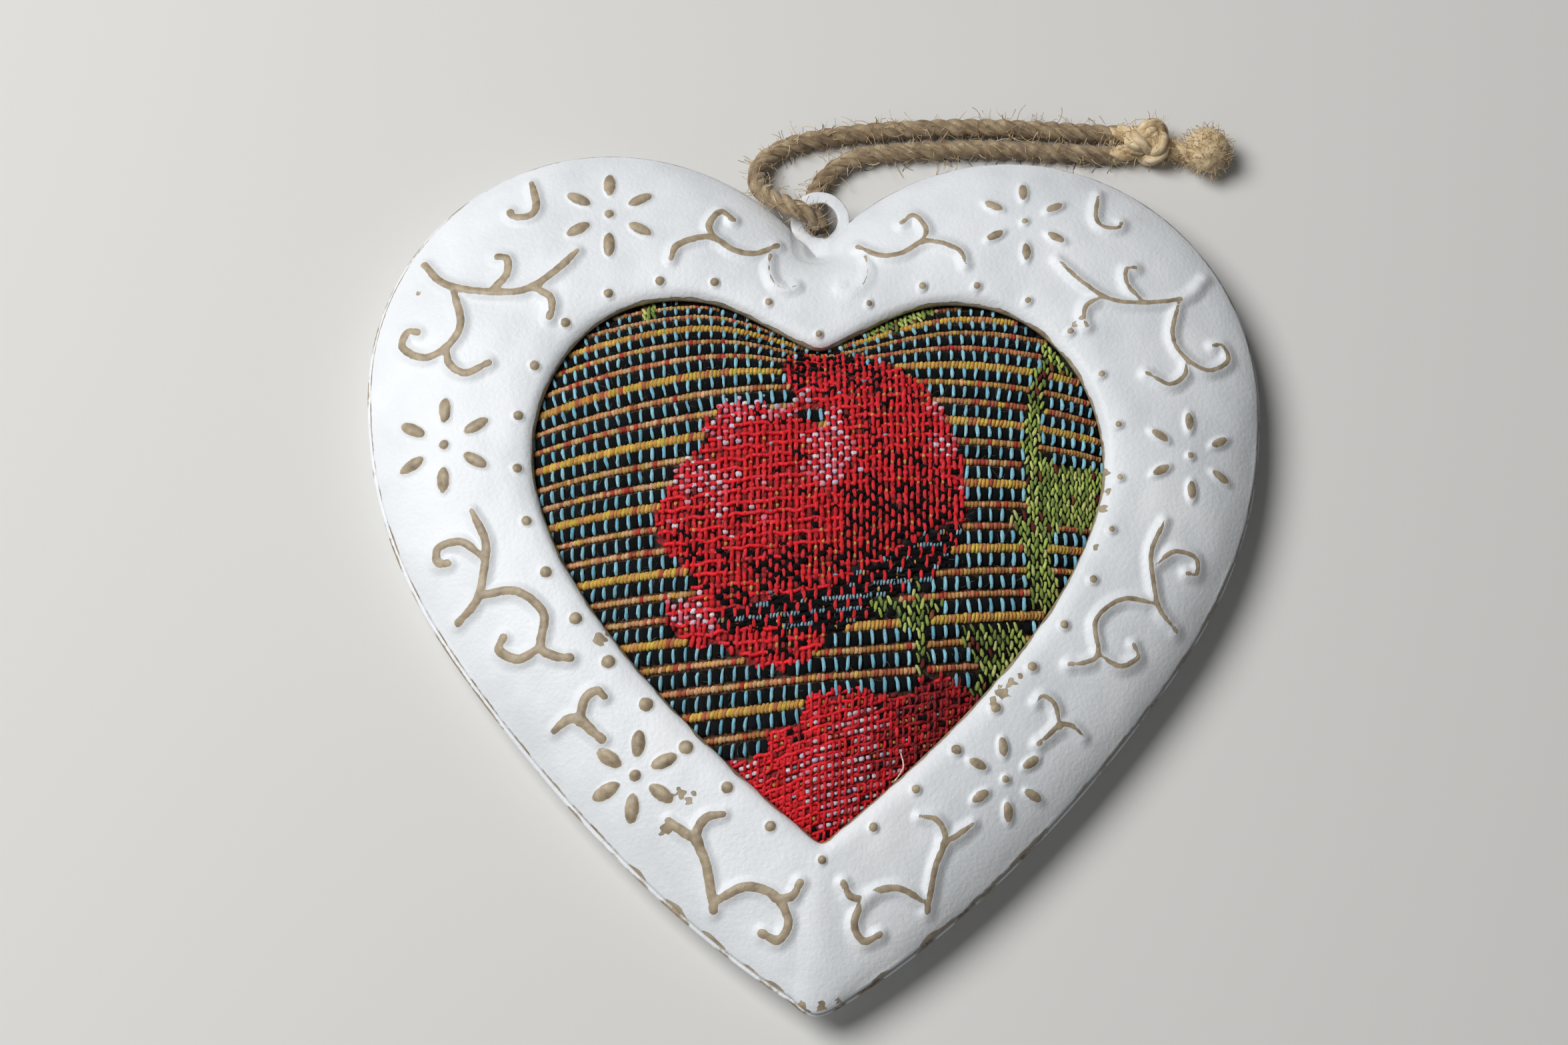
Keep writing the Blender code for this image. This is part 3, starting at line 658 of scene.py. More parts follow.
def raisedFields(x, y):
    # height of the raised work and how far inside its rubbed tops each place is
    work = raisedWork
    cx, cy, radius, missingLeft, missingRight = work["faint"]
    missing = np.where(x < 0, missingLeft, missingRight)
    x = np.abs(x)
    faint = 1 - missing * smoothStep(np.hypot(x - cx, y - cy), radius + 0.8, -1.6)
    mixed = sum(np.exp(np.clip(strokeInside(x, y, corners), -3, 3) / work["blend"])
                for corners in work["stems"] + work["branches"])
    scroll = work["blend"] * np.log(mixed + 1e-12)
    knobs = [(*centre, work["smallDotRadius"]) for centre in work["smallDots"]]
    knobs += [(*centre, np.interp(-centre[1], *zip(*work["dotRadii"]))) for centre in work["dots"]]
    knobs += [(*flower[:2], work["flowerEye"]) for flower in work["flowers"]]
    dots = np.full(x.shape, outside)
    for cx, cy, radius in knobs:
        dots = np.maximum(dots, radius - np.hypot(x - cx, y - cy))
    for cx, cy, distance, length, width, turn in work["flowers"]:
        for petal in range(work["petals"]):
            angle = math.radians(90 + turn) + math.tau * petal / work["petals"]
            spot = (cx + distance * math.cos(angle), cy + distance * math.sin(angle))
            dots = np.maximum(dots, ovalInside(x, y, spot, length, width, angle))
    slope = work["scrollSlope"]
    scrollRise = faint * work["scrollHeight"] * smoothStep(scroll, -slope, slope + 0.35)
    dome = np.clip((dots + work["dotSlope"]) / (work["dotSlope"] + 0.6), 0, 1)
    dotRise = work["dotHeight"] * dome * (2 - dome) * smoothStep(dome * 2.5)
    return np.maximum(scrollRise, dotRise), np.maximum(scroll, dots)


def bareAmount(x, y, inside):
    # more than 0 where the white paint is gone, in mm from the edge of the bare place
    rub = np.interp(x, [-25, 25], [wear["leftRub"], wear["rightRub"]])
    # the lower part is rubbed more, and most on its left
    lower = wear["lowerRub"] * smoothStep(y, *wear["lowerGrowth"])
    bare = inside + rub + lower * np.interp(x, [-8, 12], [1, 0.15])
    for cx, cy, radius, narrower in wear["whole"]:
        bare = bare - narrower * smoothStep(np.hypot(x - cx, y - cy), radius + 0.6, -0.9)
    ragged = 1 + 0.45 * softNoise(x * 3, y * 3, 2.0, 5)
    for cx, cy, radius in wear["chips"]:
        bare = np.maximum(bare, radius * ragged - np.hypot(x - cx, y - cy))
    return bare


# Pressed tin front and back with chalky white paint

frontSheet = {
    # share of the way from the window to the rim, and height
    "profile": ((0.0, 4.5), (0.015, 5.1), (0.06, 5.65), (0.14, 5.8), (0.3, 5.5), (0.5, 4.8), (0.7, 3.75),
                (0.85, 2.6), (0.95, 1.5), (1.0, 0.8)),
    "lip": 0.45, "fineness": 16, "rows": 70, "softCrease": 5.0, "tipPasses": 90,
    # depth and size in mm
    "dent": (0.11, 15.0), "ripple": (0.035, 5.0),
    # the softened crease below the cleft starts and ends at these heights and this far sideways, each
    # with the length of its fade
    "cleftStart": (7.4, 4.0), "cleftEnd": (18.9, -5.0), "cleftSide": (12.0, -5.0),
    # but it spares the rolled edge: how far sideways this begins, and how far from the window it goes
    "spared": (1.5, 2.5), "sparedEdge": (1.6, 3.0),
    "eyeForward": 4.3, "eyeRoom": 3.2,
    # how bare the paint is underneath, and the height where rays start
    "bareUnder": 0.3, "rayStart": 30.0,
    "rolledShares": (0.0, 0.005, 0.012, 0.022, 0.036, 0.052),
    # the cut edge and the inner side: share of the way to the rim, depth below the face, and shift
    "under": ((1.0, 0.25, 0.08), (1.0, 0.42, 0.05), (0.985, 0.5, -0.1), (0.93, 0.5, 0.0), (0.6, 0.5, 0.0),
              (0.25, 0.52, 0.05), (0.1, 0.55, 0.1), (0.02, 0.75, 0.38), (0.0, 0.25, 0.3), (0.0, 0.08, 0.1)),
}
paintLook = {
    "white": ((0.3, "#DCDFE2"), (0.5, "#E6E9EC"), (0.7, "#EEF0F2")),
    "primer": ((0.3, "#857660"), (0.5, "#A3937A"), (0.7, "#B8A98F")),
    # waves in a millimetre, detail and roughness: the paint's ragged edge, the white's clouds, the
    # primer's grain and the orange peel
    "patterns": ((1.4, 3.0, 0.5), (0.09, 5.0, 0.6), (0.8, 4.0, 0.5), (2.1, 3.0, 0.5)),
    # how far in mm the edge wanders and fades, and the height of the relief
    "wander": 0.22, "fade": 0.035, "relief": 0.08,
    "smoothest": 0.42, "roughest": 0.62,
}


def paintedTin(name):
    # Chalky white paint over tan primer on pressed tin: matt and slightly mottled, with the primer
    # showing on rubbed tops, edges and chips, where the bare attribute is above 0
    surface, add = newSurface(name)
    place = add("TexCoord").outputs["Object"]
    bare = add("Attribute", attribute_name="bare").outputs["Fac"]
    ragged, cloud, grain, lumps = (
        add("TexNoise", {"Vector": place, "Scale": waves / mm, "Detail": detail, "Roughness": roughness})
        for waves, detail, roughness in paintLook["patterns"])
    shifted = add("Math", ragged, -0.5, operation="ADD")
    moved = add("Math", shifted, paintLook["wander"], bare, operation="MULTIPLY_ADD")
    mask = add("MapRange", {"Value": moved, "From Min": -paintLook["fade"], "From Max": paintLook["fade"]})
    white = add("ValToRGB", cloud, stops=paintLook["white"])
    primer = add("ValToRGB", grain, stops=paintLook["primer"])
    colour = add("Mix", {"Factor": mask, "A": white, "B": primer}, data_type="RGBA").outputs["Result"]
    rough = add("MapRange", {
        "Value": cloud, "To Min": paintLook["smoothest"], "To Max": paintLook["roughest"]})
    # the paint has a fine orange peel of about 0.5 mm, and its film ends in a low step at a bare place
    step = add("Math", mask, -0.9, lumps, operation="MULTIPLY_ADD")
    bump = add("Bump", {"Height": step, "Strength": 0.8, "Distance": paintLook["relief"] * mm})
    return coat(surface, {"Base Color": colour, "Roughness": rough, "Normal": bump, "IOR": 1.5})


def frontEdge(outer, window):
    across = (window - outer) / np.linalg.norm(window - outer, axis=1)[:, None]
    edge = outer + across * frontSheet["lip"]
    eye = outer[0] + (0.0, frontSheet["eyeForward"])
    away = edge - eye
    reach = np.linalg.norm(away, axis=1)
    close = reach < frontSheet["eyeRoom"]
    edge[close] = eye + away[close] / reach[close][:, None] * frontSheet["eyeRoom"]
    return edge


def plainSheet(shares, window, edge):
    # the sheet before it is softened below the cleft
    points = window + (edge - window) * shares[:, None, None]
    level = np.broadcast_to(smoothProfile(frontSheet["profile"], shares)[:, None], points.shape[:2])
    return BVHTree.FromPolygons(
        np.dstack([points, level]).reshape(-1, 3).tolist(), ringFaces(len(shares), len(window)))


def softenCleft(height, x, y, fromWindow, tree):
    # near the middle line below the cleft the height is read from a place to the side, but the
    # window's rolled edge stays
    sheet = frontSheet
    soft = sheet["softCrease"] * smoothStep(y, *sheet["cleftEnd"]) * smoothStep(y, *sheet["cleftStart"])
    size = np.abs(x)
    shift = (np.sqrt(size * size + soft * soft) - size) * smoothStep(size, *sheet["cleftSide"])
    shift *= 1 - smoothStep(size, *sheet["spared"]) * (1 - smoothStep(fromWindow, *sheet["sparedEdge"]))
    softened = height.copy()
    for index in zip(*np.nonzero(shift > 0.01)):
        above = Vector((size[index] + shift[index], y[index], sheet["rayStart"]))
        hit = tree.ray_cast(above, Vector((0, 0, -1)))[0]
        if hit is not None:
            softened[index] = hit.z
    return softened


def creaseShares(shares, window, edge):
    # the sheet is drawn smoothly over the heart's lower middle line, so its height there is read
    # from a place a little to the side
    points = window + (edge - window) * shares[:, None, None]
    tip = int(np.argmin(window[:, 1]))
    ahead, behind = np.roll(points, -1, 1), np.roll(points, 1, 1)
    along = ahead - behind
    along[:, 0] = (ahead - points)[:, 0]
    along[:, tip] = (points - behind)[:, tip]
    across = edge - window
    side = np.where(np.arange(len(window)) <= tip, 1.0, -1.0)
    perSide = -along[..., 1] * side / (along[..., 0] * across[:, 1] - along[..., 1] * across[:, 0])
    x = np.abs(points[..., 0])
    reach = frontSheet["softCrease"] * 4 * shares[:, None] * (1 - shares[:, None])
    shift = np.sqrt(x * x + reach * reach) - x
    shift = shift * smoothStep(1.6 - x / 11) * smoothStep(points[..., 1], -12, -10)
    return np.clip(shares[:, None] + perSide * shift, 0, 1)


def makeFront(paint):
    fineness = frontSheet["fineness"]
    window, sharpWindow = windowOutline(fineness), windowOutline(fineness, rounded=False)
    edge = frontEdge(outerOutline(fineness), window)
    sharpEdge = frontEdge(outerOutline(fineness, rounded=False), sharpWindow)
    width = np.linalg.norm(edge - window, axis=1)
    shares = np.concatenate([
        frontSheet["rolledShares"], np.linspace(0.07, 0.975, frontSheet["rows"] - 8), [0.99, 1.0]])
    tree = plainSheet(shares, sharpWindow, sharpEdge)

    def sheetAt(shares):
        points = window + (edge - window) * shares[:, None, None]
        level = smoothProfile(frontSheet["profile"], creaseShares(shares, sharpWindow, sharpEdge))
        return points, softenCleft(level, points[..., 0], points[..., 1], shares[:, None] * width, tree)

    points, height = sheetAt(shares)
    x, y = points[..., 0], points[..., 1]
    # the middle line is smoothed towards the tip
    middle = smoothStep(np.abs(x), 4, -2) * (y < -20)
    for _ in range(frontSheet["tipPasses"]):
        height += middle * ((np.roll(height, 1, 1) + np.roll(height, -1, 1)) / 2 - height)
    rise, inside = raisedFields(x, y)
    height += rise
    fade = smoothStep(shares, 0, 0.05) * smoothStep(shares, 1, -0.03)
    # shallow dents and ripples of the thin sheet
    (dent, dentSize), (ripple, rippleSize) = frontSheet["dent"], frontSheet["ripple"]
    dents = dent * softNoise(x, y, dentSize, 3) + ripple * softNoise(x, y, rippleSize, 9)
    height = height + dents * fade[:, None]
    # rubbed paint along the window and the rim, more of it low on the heart
    fromWindow, fromRim = shares[:, None] * width, (1 - shares[:, None]) * width
    ragged = 0.5 + 0.5 * softNoise(x, y, 4.0, 8)
    atWindow = wear["windowEdge"] * (0.6 + ragged + ragged * smoothStep(y, *wear["windowGrowth"]))
    atRim = wear["rimEdge"] * (2.4 * ragged - 1.2) * (1 + 4 * smoothStep(y, *wear["rimGrowth"]))
    bare = np.maximum(bareAmount(x, y, inside), np.maximum(atWindow - fromWindow, atRim - fromRim))
    # the cut edge and the sheet's inner side
    share, drop, shift = np.array(frontSheet["under"]).T
    inner, level = sheetAt(share)
    inner = inner + (edge - window) / width[:, None] * shift[:, None, None]
    points = np.concatenate([np.dstack([points, height]), np.dstack([inner, level - drop[:, None]])])
    full = np.concatenate([bare, np.full(level.shape, frontSheet["bareUnder"])])
    full[len(shares):len(shares) + 3] = 0.25 * ragged[-1] - 0.1
    faces = ringFaces(len(points), len(window), closedRows=True)
    thing = newMesh("front_shell_painted", points.reshape(-1, 3), faces, attributes={"bare": full.ravel()})
    dress(thing, paint, "front_shell", "front_shell")


backSheet = {
    # distance in from the lip and height, from the inner floor over the lip down to the flat back
    "section": (
        (8.2, -4.5), (6.6, -4.35), (5.2, -3.9), (3.4, -2.0), (2.3, -0.45), (1.6, -0.06), (0.8, -0.01),
        (0.22, 0.0), (0.05, -0.08), (0.0, -0.24), (0.05, -0.42), (0.25, -0.5), (1.2, -0.52), (1.75, -0.62),
        (2.1, -0.95), (3.0, -2.2), (4.1, -3.6), (4.6, -4.15), (5.2, -4.6), (6.1, -4.92), (7.4, -5.0),
        (9.5, -5.0),
    ),
    # the rings where the wall turns into the flat back
    "turnDown": (17, 18, 19), "fineness": 12, "innerRings": 8, "middle": (0.0, -12.0), "floors": (-5.0, -4.5),
}


def makeBack(paint):
    outer, window = outerOutline(backSheet["fineness"]), windowOutline(backSheet["fineness"])
    across = (window - outer) / np.linalg.norm(window - outer, axis=1)[:, None]
    rows, bare = [], []
    ragged = 0.5 + 0.5 * softNoise(*outer.T, 5.0, 21)
    for index, (distance, height) in enumerate(backSheet["section"]):
        ring = outer + across * distance
        # the wall is a little uneven, but the flat back isn't
        wobble = 0.05 * softNoise(*ring.T, 12.0, 4) * (0.2 if height > -4.9 else 0.0)
        rows.append(np.column_stack([ring, height + wobble]))
        # the paint is rubbed on the lip, more so low on the heart, and where the wall turns down
        turnDown = index in backSheet["turnDown"]
        low = 0.1 * smoothStep(ring[:, 1], *wear["lipGrowth"]) * (distance < 0.3)
        lip = 0.2 * (distance < 0.1) + low
        bare.append(lip * (1.5 * ragged - 0.5) + 0.22 * turnDown * (ragged * 1.6 - 0.9) - 0.06)
    middle = np.array(backSheet["middle"])
    last = rows[-1]
    for share in np.linspace(0, 1, backSheet["innerRings"] + 1)[1:-1]:
        rows.append(np.column_stack([last[:, :2] + (middle - last[:, :2]) * share, last[:, 2]]))
        bare.append(np.full(len(outer), -0.12) + 0.1 * softNoise(*rows[-1][:, :2].T, 8.0, 6))
    points = np.concatenate(rows + [[[*middle, height] for height in backSheet["floors"]]])
    faces = cappedFaces(len(rows), len(outer), len(points) - 1, len(points) - 2)
    amount = np.concatenate(bare + [[-0.2, -0.2]])
    thing = newMesh("back_shell_painted", points, faces, attributes={"bare": amount})
    dress(thing, paint, "back_shell", "back_shell")


eyeRing = {
    "shift": (0.5, 0.0), "hole": 2.0, "outer": 3.4, "tongue": 3.0, "tongueSpread": 0.62,
    "lowest": 0.16, "rise": 0.55, "halfSheet": 0.13, "roundness": 0.55, "around": 112, "section": 22,
    # the ring climbs out of the cleft from this place on, over this length
    "climb": (-4.2, 7.6),
}


def makeEye(paint):
    # a stamped ring with rounded edges, on a tongue that is crimped between the sheets
    ring = eyeRing
    centre = outerOutline(2)[0] + (0.0, frontSheet["eyeForward"]) + ring["shift"]
    turn = np.linspace(0, math.tau, ring["around"], endpoint=False)
    section = np.linspace(0, math.tau, ring["section"], endpoint=False)[:, None]
    away = np.abs((turn - 1.5 * math.pi + math.pi) % math.tau - math.pi)
    outer = ring["outer"] + ring["tongue"] * np.exp(-(away / ring["tongueSpread"]) ** 2)
    across, up = (np.sign(part) * np.abs(part) ** ring["roundness"]
                  for part in (np.cos(section), np.sin(section)))
    radius = (outer + ring["hole"]) / 2 + across * (outer - ring["hole"]) / 2
    x, y = centre[0] + radius * np.cos(turn), centre[1] + radius * np.sin(turn)
    climb = smoothStep(y - centre[1], *ring["climb"])
    z = ring["lowest"] + ring["rise"] * climb + up * ring["halfSheet"] * (1 + 0.9 * climb)
    z = z + 0.03 * softNoise(x, y, 3.0, 2) * climb
    bare = -0.2 + 0.1 * softNoise(x, y, 1.6, 12) + 0.14 * (np.abs(across) > 0.9)
    faces = ringFaces(ring["section"], ring["around"], closedRows=True)
    points = np.dstack([x, y, z]).reshape(-1, 3)
    thing = newMesh("hanging_eye_ring", points, faces, attributes={"bare": bare.ravel()})
    dress(thing, paint, "hanging_eye", "hanging_eye")


whitePaint = paintedTin("chalky white paint on pressed tin")
makeFront(whitePaint)
makeBack(whitePaint)
makeEye(whitePaint)
print("painted tin made")


# Padded cushion in the window

cushion = {
    "middle": (0.0, -16.0),
    # share of the way from the middle to the window edge, and height
    "profile": ((0.0, 10.3), (0.3, 10.0), (0.55, 9.1), (0.75, 7.6), (0.88, 5.8), (0.95, 4.5), (1.0, 3.3),
                (1.04, 2.2), (1.055, 0.6), (1.056, -1.0)),
    # rings under the metal and below the cloth, as shares and heights
    "tucked": (1.02, 1.04, 1.052), "under": ((1.03, -2.6), (0.9, -4.1), (0.6, -4.2), (0.3, -4.2)),
    "edge": 3.3, "fineness": 5, "rings": 30, "slack": 0.86, "frames": 20, "cap": 1.9, "simScale": 20.0,
    "rayStart": 40.0,
    "cloth": {
        "vertex_group_mass": "held", "use_pressure": True, "uniform_pressure_force": 4.0,
        "tension_stiffness": 20, "compression_stiffness": 20, "bending_stiffness": 2,
    },
}


def cushionPoints(flatten):
    # rings from the middle out to under the metal, then back in underneath
    window, middle = windowOutline(cushion["fineness"]), np.array(cushion["middle"])
    shares = np.append(np.linspace(0.03, 1.0, cushion["rings"]), cushion["tucked"])
    heights = smoothProfile(cushion["profile"], shares)
    heights = np.where(shares < 1, cushion["edge"] + (heights - cushion["edge"]) * flatten, heights)
    under = np.array(cushion["under"]).T
    shares, heights = np.append(shares, under[0]), np.append(heights, under[1])
    rings = middle + (window - middle) * shares[:, None, None]
    rings = np.dstack([rings, np.broadcast_to(heights[:, None], rings.shape[:2])])
    top = cushion["edge"] + (cushion["profile"][0][1] - cushion["edge"]) * flatten
    points = np.concatenate([rings.reshape(-1, 3), [[*middle, top], [*middle, cushion["under"][-1][1]]]])
    count = len(points) - 2
    pinned = np.ones(len(points))
    pinned[:(cushion["rings"] - 1) * len(window)] = 0.0
    pinned[count] = 0.0
    return points, cappedFaces(len(shares), len(window), count, count + 1), pinned


def inflated(points, faces, pinned):
    # the stuffing presses the cloth outward while its edge is held under the metal
    scale = cushion["simScale"]
    mesh = bpy.data.meshes.new("cloth_blank")
    mesh.from_pydata((points * mm * scale).tolist(), [], faces)
    blank = addObject("cloth_blank", mesh)
    blank.vertex_groups.new(name="held").add(np.flatnonzero(pinned > 0).tolist(), 1.0, "REPLACE")
    cloth = blank.modifiers.new("cloth", "CLOTH")
    for key, value in cushion["cloth"].items():
        setattr(cloth.settings, key, value)
    cloth.settings.effector_weights.gravity = 0
    cloth.collision_settings.use_collision = False
    cloth.collision_settings.use_self_collision = False
    scene = bpy.context.scene
    for number in range(1, cushion["frames"] + 1):
        scene.frame_set(number)
    evaluated = blank.evaluated_get(bpy.context.evaluated_depsgraph_get())
    moved = np.empty(len(points) * 3)
    evaluated.data.vertices.foreach_get("co", moved)
    bpy.data.objects.remove(blank)
    scene.frame_set(1)
    step = moved.reshape(-1, 3) / (mm * scale) - points
    length = np.linalg.norm(step, axis=1)[:, None] + 1e-9
    print("cloth moved at most", round(float(length.max()), 2), "mm")
    return points + step * np.minimum(1, cushion["cap"] / length)


cushionShape, cushionFaces, cushionHeld = cushionPoints(cushion["slack"])
cushionShape = inflated(cushionShape, cushionFaces, cushionHeld)
clothTree = BVHTree.FromPolygons(cushionShape.tolist(), cushionFaces)
windowFine = windowOutline(10)
windowAngle = np.arctan2(windowFine[:, 1] - cushion["middle"][1], windowFine[:, 0])
windowReach = np.hypot(windowFine[:, 0], windowFine[:, 1] - cushion["middle"][1])


def windowShare(x, y):
    # 0 in the cushion's middle and 1 at the window's edge
    middle = cushion["middle"][1]
    edge = np.interp(np.arctan2(y - middle, x), windowAngle, windowReach, period=math.tau)
    return np.hypot(x, y - middle) / edge


def clothAt(x, y, lift=0.0):
    # the place at a height over the cloth, and the cloth's normal there
    hit, normal, _, _ = clothTree.ray_cast(Vector((x, y, cushion["rayStart"])), Vector((0, 0, -1)))
    if hit is None:
        return (x, y, lift), Vector((0, 0, 1))
    normal = normal if normal.z > 0 else -normal
    return (x + normal.x * lift, y + normal.y * lift, hit.z + normal.z * lift), normal


# What is woven where: striped ground, two red blooms and green leaves

weave = {
    "rowPeriod": 2.6, "firstRow": 3.2, "tickPitch": 1.34, "ribPitch": 0.45, "floatPitch": 0.7,
    "leafPitch": 0.52, "dashPitch": 0.37, "lowerPitch": 0.97, "lowerSlope": 0.29, "shadeTurn": 0.05,
    "edgeSqueeze": 0.00006, "seed": 7,
    # the rows rise to the right, and at both sides they bend down above the level height and up below it
    "tilt": 0.1, "fan": 0.14, "fanLevel": -15.0, "fanOver": 12.0, "fanLeast": -1.2, "fanRight": 1.35,
    # and sink in a valley at the top, where the heart's lobes part
    "valleyDepth": 6.0, "valleyWidth": 8.5, "valleyGrowth": (-0.5, 12.5),
    # half the width that the rows are drawn across, and the step along them
    "halfSpan": 33.0, "step": 0.12,
    # the rows crowd together above this height, by this share of the distance cubed
    "crowdFrom": -6.0, "crowding": 0.0003,
    # and hang a little lower there on the right
    "rightDrop": 0.5,
    # how much each float is bowed, and how far its outline wanders
    "bow": -1.1, "unevenness": 0.3,
    # waves in a millimetre: of the outline, of the shade along a weft and from float to float, and the
    # threads of the ground
    "outlineWaves": 1.6, "weftShades": 0.8, "floatShades": 0.42, "groundThreads": 3.2,
}
blooms = {
    # corners of the woven shapes, clockwise from the top
    "upper": (
        (-2.0, 4.9), (5.0, 4.7), (5.2, 3.2), (8.2, 3.1), (9.2, 1.9), (11.0, 0.4), (12.6, -1.5), (13.8, -3.5),
        (14.8, -6.0), (15.3, -10.0), (15.7, -13.0), (15.6, -15.6), (14.6, -18.0), (12.4, -20.0), (8.0, -22.6),
        (4.0, -25.8), (0.4, -28.6), (-1.4, -31.4), (-4.5, -32.2), (-7.0, -32.3), (-8.2, -31.0),
        (-10.6, -29.8), (-14.0, -29.0), (-16.3, -27.6), (-16.8, -25.2), (-13.7, -24.3), (-14.0, -21.6),
        (-16.4, -19.8),
        (-17.6, -17.8), (-18.2, -15.8), (-17.3, -13.2), (-16.1, -11.9), (-16.0, -10.2), (-13.9, -8.8),
        (-12.4, -7.2), (-13.0, -5.2), (-11.7, -4.4), (-11.2, -2.4), (-6.4, -2.1), (-5.8, -2.9), (-2.9, -2.5),
        (-2.9, -0.4), (-4.3, 1.3), (-4.0, 3.7),
    ),
    "shade": (
        (-11.5, -26.4), (-7.1, -25.1), (-2.7, -24.0), (0.3, -23.6), (3.7, -21.8), (7.5, -19.2), (11.0, -17.2),
        (15.4, -15.8), (14.4, -18.4), (12.8, -21.0), (11.0, -22.6), (8.0, -23.6), (5.5, -26.2), (0.6, -28.4),
        (-3.0, -28.2), (-7.0, -27.6), (-10.5, -27.8),
    ),
    # a gap in the upper bloom where the ground shows
    "gap": ((-2.0, -2.3), (0.5, -2.3), (0.5, -4.6), (-2.0, -4.6)),
    "lower": (
        (-10.4, -41.4), (-6.4, -41.2), (-5.2, -38.6), (-2.5, -37.9), (-2.4, -36.3), (-1.1, -35.1),
        (1.2, -34.5), (5.0, -34.0), (5.4, -35.0), (9.8, -34.2), (10.2, -32.5), (15.0, -32.2), (18.0, -34.4),
        (18.0, -52.0), (-12.0, -52.0),
    ),
    # centre x, y, radius and strength of lit and dark places
    "light": (
        (-10.5, -4.2, 2.4, 0.9), (-8.5, -2.9, 1.8, 0.6), (-4.2, -3.4, 1.6, 0.9), (-1.7, -1.0, 1.2, 0.9),
        (0.8, -5.0, 1.6, 0.9), (0.3, -8.0, 1.8, 0.9), (0.8, -11.0, 1.8, 1.0), (-14.5, -11.3, 1.8, 1.0),
        (-11.3, -12.5, 1.6, 0.8), (-11.0, -16.0, 0.9, 0.7), (-16.4, -16.5, 1.0, 0.7), (13.2, -3.5, 1.3, 0.9),
        (13.0, -8.0, 1.6, 0.8), (9.5, 1.6, 0.8, 0.7), (-14.5, -26.0, 1.7, 0.8), (-12.5, -27.3, 1.6, 0.6),
        (-6.0, -16.0, 0.7, 0.8), (-6.5, -12.0, 0.7, 0.6), (3.0, -8.5, 1.2, 0.5), (15.6, -12.0, 0.9, 0.9),
        (1.2, -42.5, 4.0, 0.75), (4.6, -37.6, 1.8, 0.7), (2.0, -46.5, 2.6, 0.5), (-7.6, -41.6, 1.4, 0.6),
        (7.0, -41.5, 2.0, 0.3),
    ),
    "dark": (
        (-2.3, 2.4, 2.2, 1.2), (3.3, 2.3, 1.8, 0.7), (7.0, 0.2, 1.4, 0.5), (11.3, -9.0, 0.9, 0.6),
        (-1.5, 0.8, 1.5, 0.6), (10.0, -13.5, 3.5, 0.35), (2.5, -13.5, 1.8, 0.25), (-4.0, -15.5, 1.5, 0.3),
        # (12.0, -35.0) is partly painted shade, where the lower bloom turns away from the light
        (-14.5, -20.2, 1.4, 0.6), (-3.5, -29.8, 2.2, 0.6), (-9.0, -27.5, 1.4, 0.35), (12.0, -35.0, 4.0, 0.2),
        (-10.0, -23.0, 2.2, 0.5), (-6.0, -22.4, 2.3, 0.6), (-2.0, -21.6, 2.3, 0.6), (2.0, -20.2, 2.3, 0.6),
        (2.5, 4.4, 2.2, 0.35), (6.0, -17.8, 2.5, 0.7), (10.0, -15.4, 2.5, 0.7), (13.5, -14.0, 2.0, 0.6),
        (0.5, 3.6, 1.6, 0.5),
        (6.5, -4.0, 1.4, 0.35), (8.5, -9.5, 1.6, 0.35), (5.0, -14.0, 1.8, 0.35), (-9.5, -26.0, 1.8, 0.5),
        (-3.0, -39.5, 1.2, 0.5),
    ),
}
leaves = (
    # corners of each woven leaf or stem
    ((25.0, 7.3), (26.6, 6.8), (29.5, 4.6), (28.4, 2.8), (25.6, 3.6), (24.9, 0.6), (24.2, -3.0), (23.9, -7.0),
     (22.2, -7.6), (22.3, -3.5), (23.0, 0.0), (23.7, 2.6), (24.6, 4.6)),
    ((22.0, -6.8), (24.4, -7.4), (26.4, -8.2), (31.6, -7.6), (31.6, -14.2), (27.0, -14.6), (25.4, -15.4),
     (25.2, -19.0), (26.6, -22.2), (24.6, -24.6), (22.8, -23.4), (22.0, -17.8), (21.0, -16.4), (20.6, -13.2),
     (22.2, -14.2), (22.6, -10.6)),
    ((22.6, -26.0), (19.0, -26.4), (15.2, -27.2), (15.6, -30.2), (17.4, -30.8), (15.4, -33.6), (18.4, -34.0),
     (21.6, -29.6)),
    ((9.7, -21.6), (10.4, -21.8), (10.5, -24.0), (12.8, -24.2), (12.4, -26.2), (11.0, -27.2), (11.5, -32.2),
     (10.1, -32.4), (10.1, -28.2), (8.2, -27.6), (7.4, -25.6), (6.6, -26.5), (5.0, -25.6), (5.2, -24.0),
     (7.4, -24.4), (9.7, -24.6)),
    ((5.5, 8.6), (9.0, 10.2), (12.5, 12.0), (13.4, 10.2), (9.8, 8.2), (6.0, 7.2)),
    ((-20.2, 12.6), (-18.0, 12.6), (-18.4, 8.8), (-19.6, 8.6)),
)
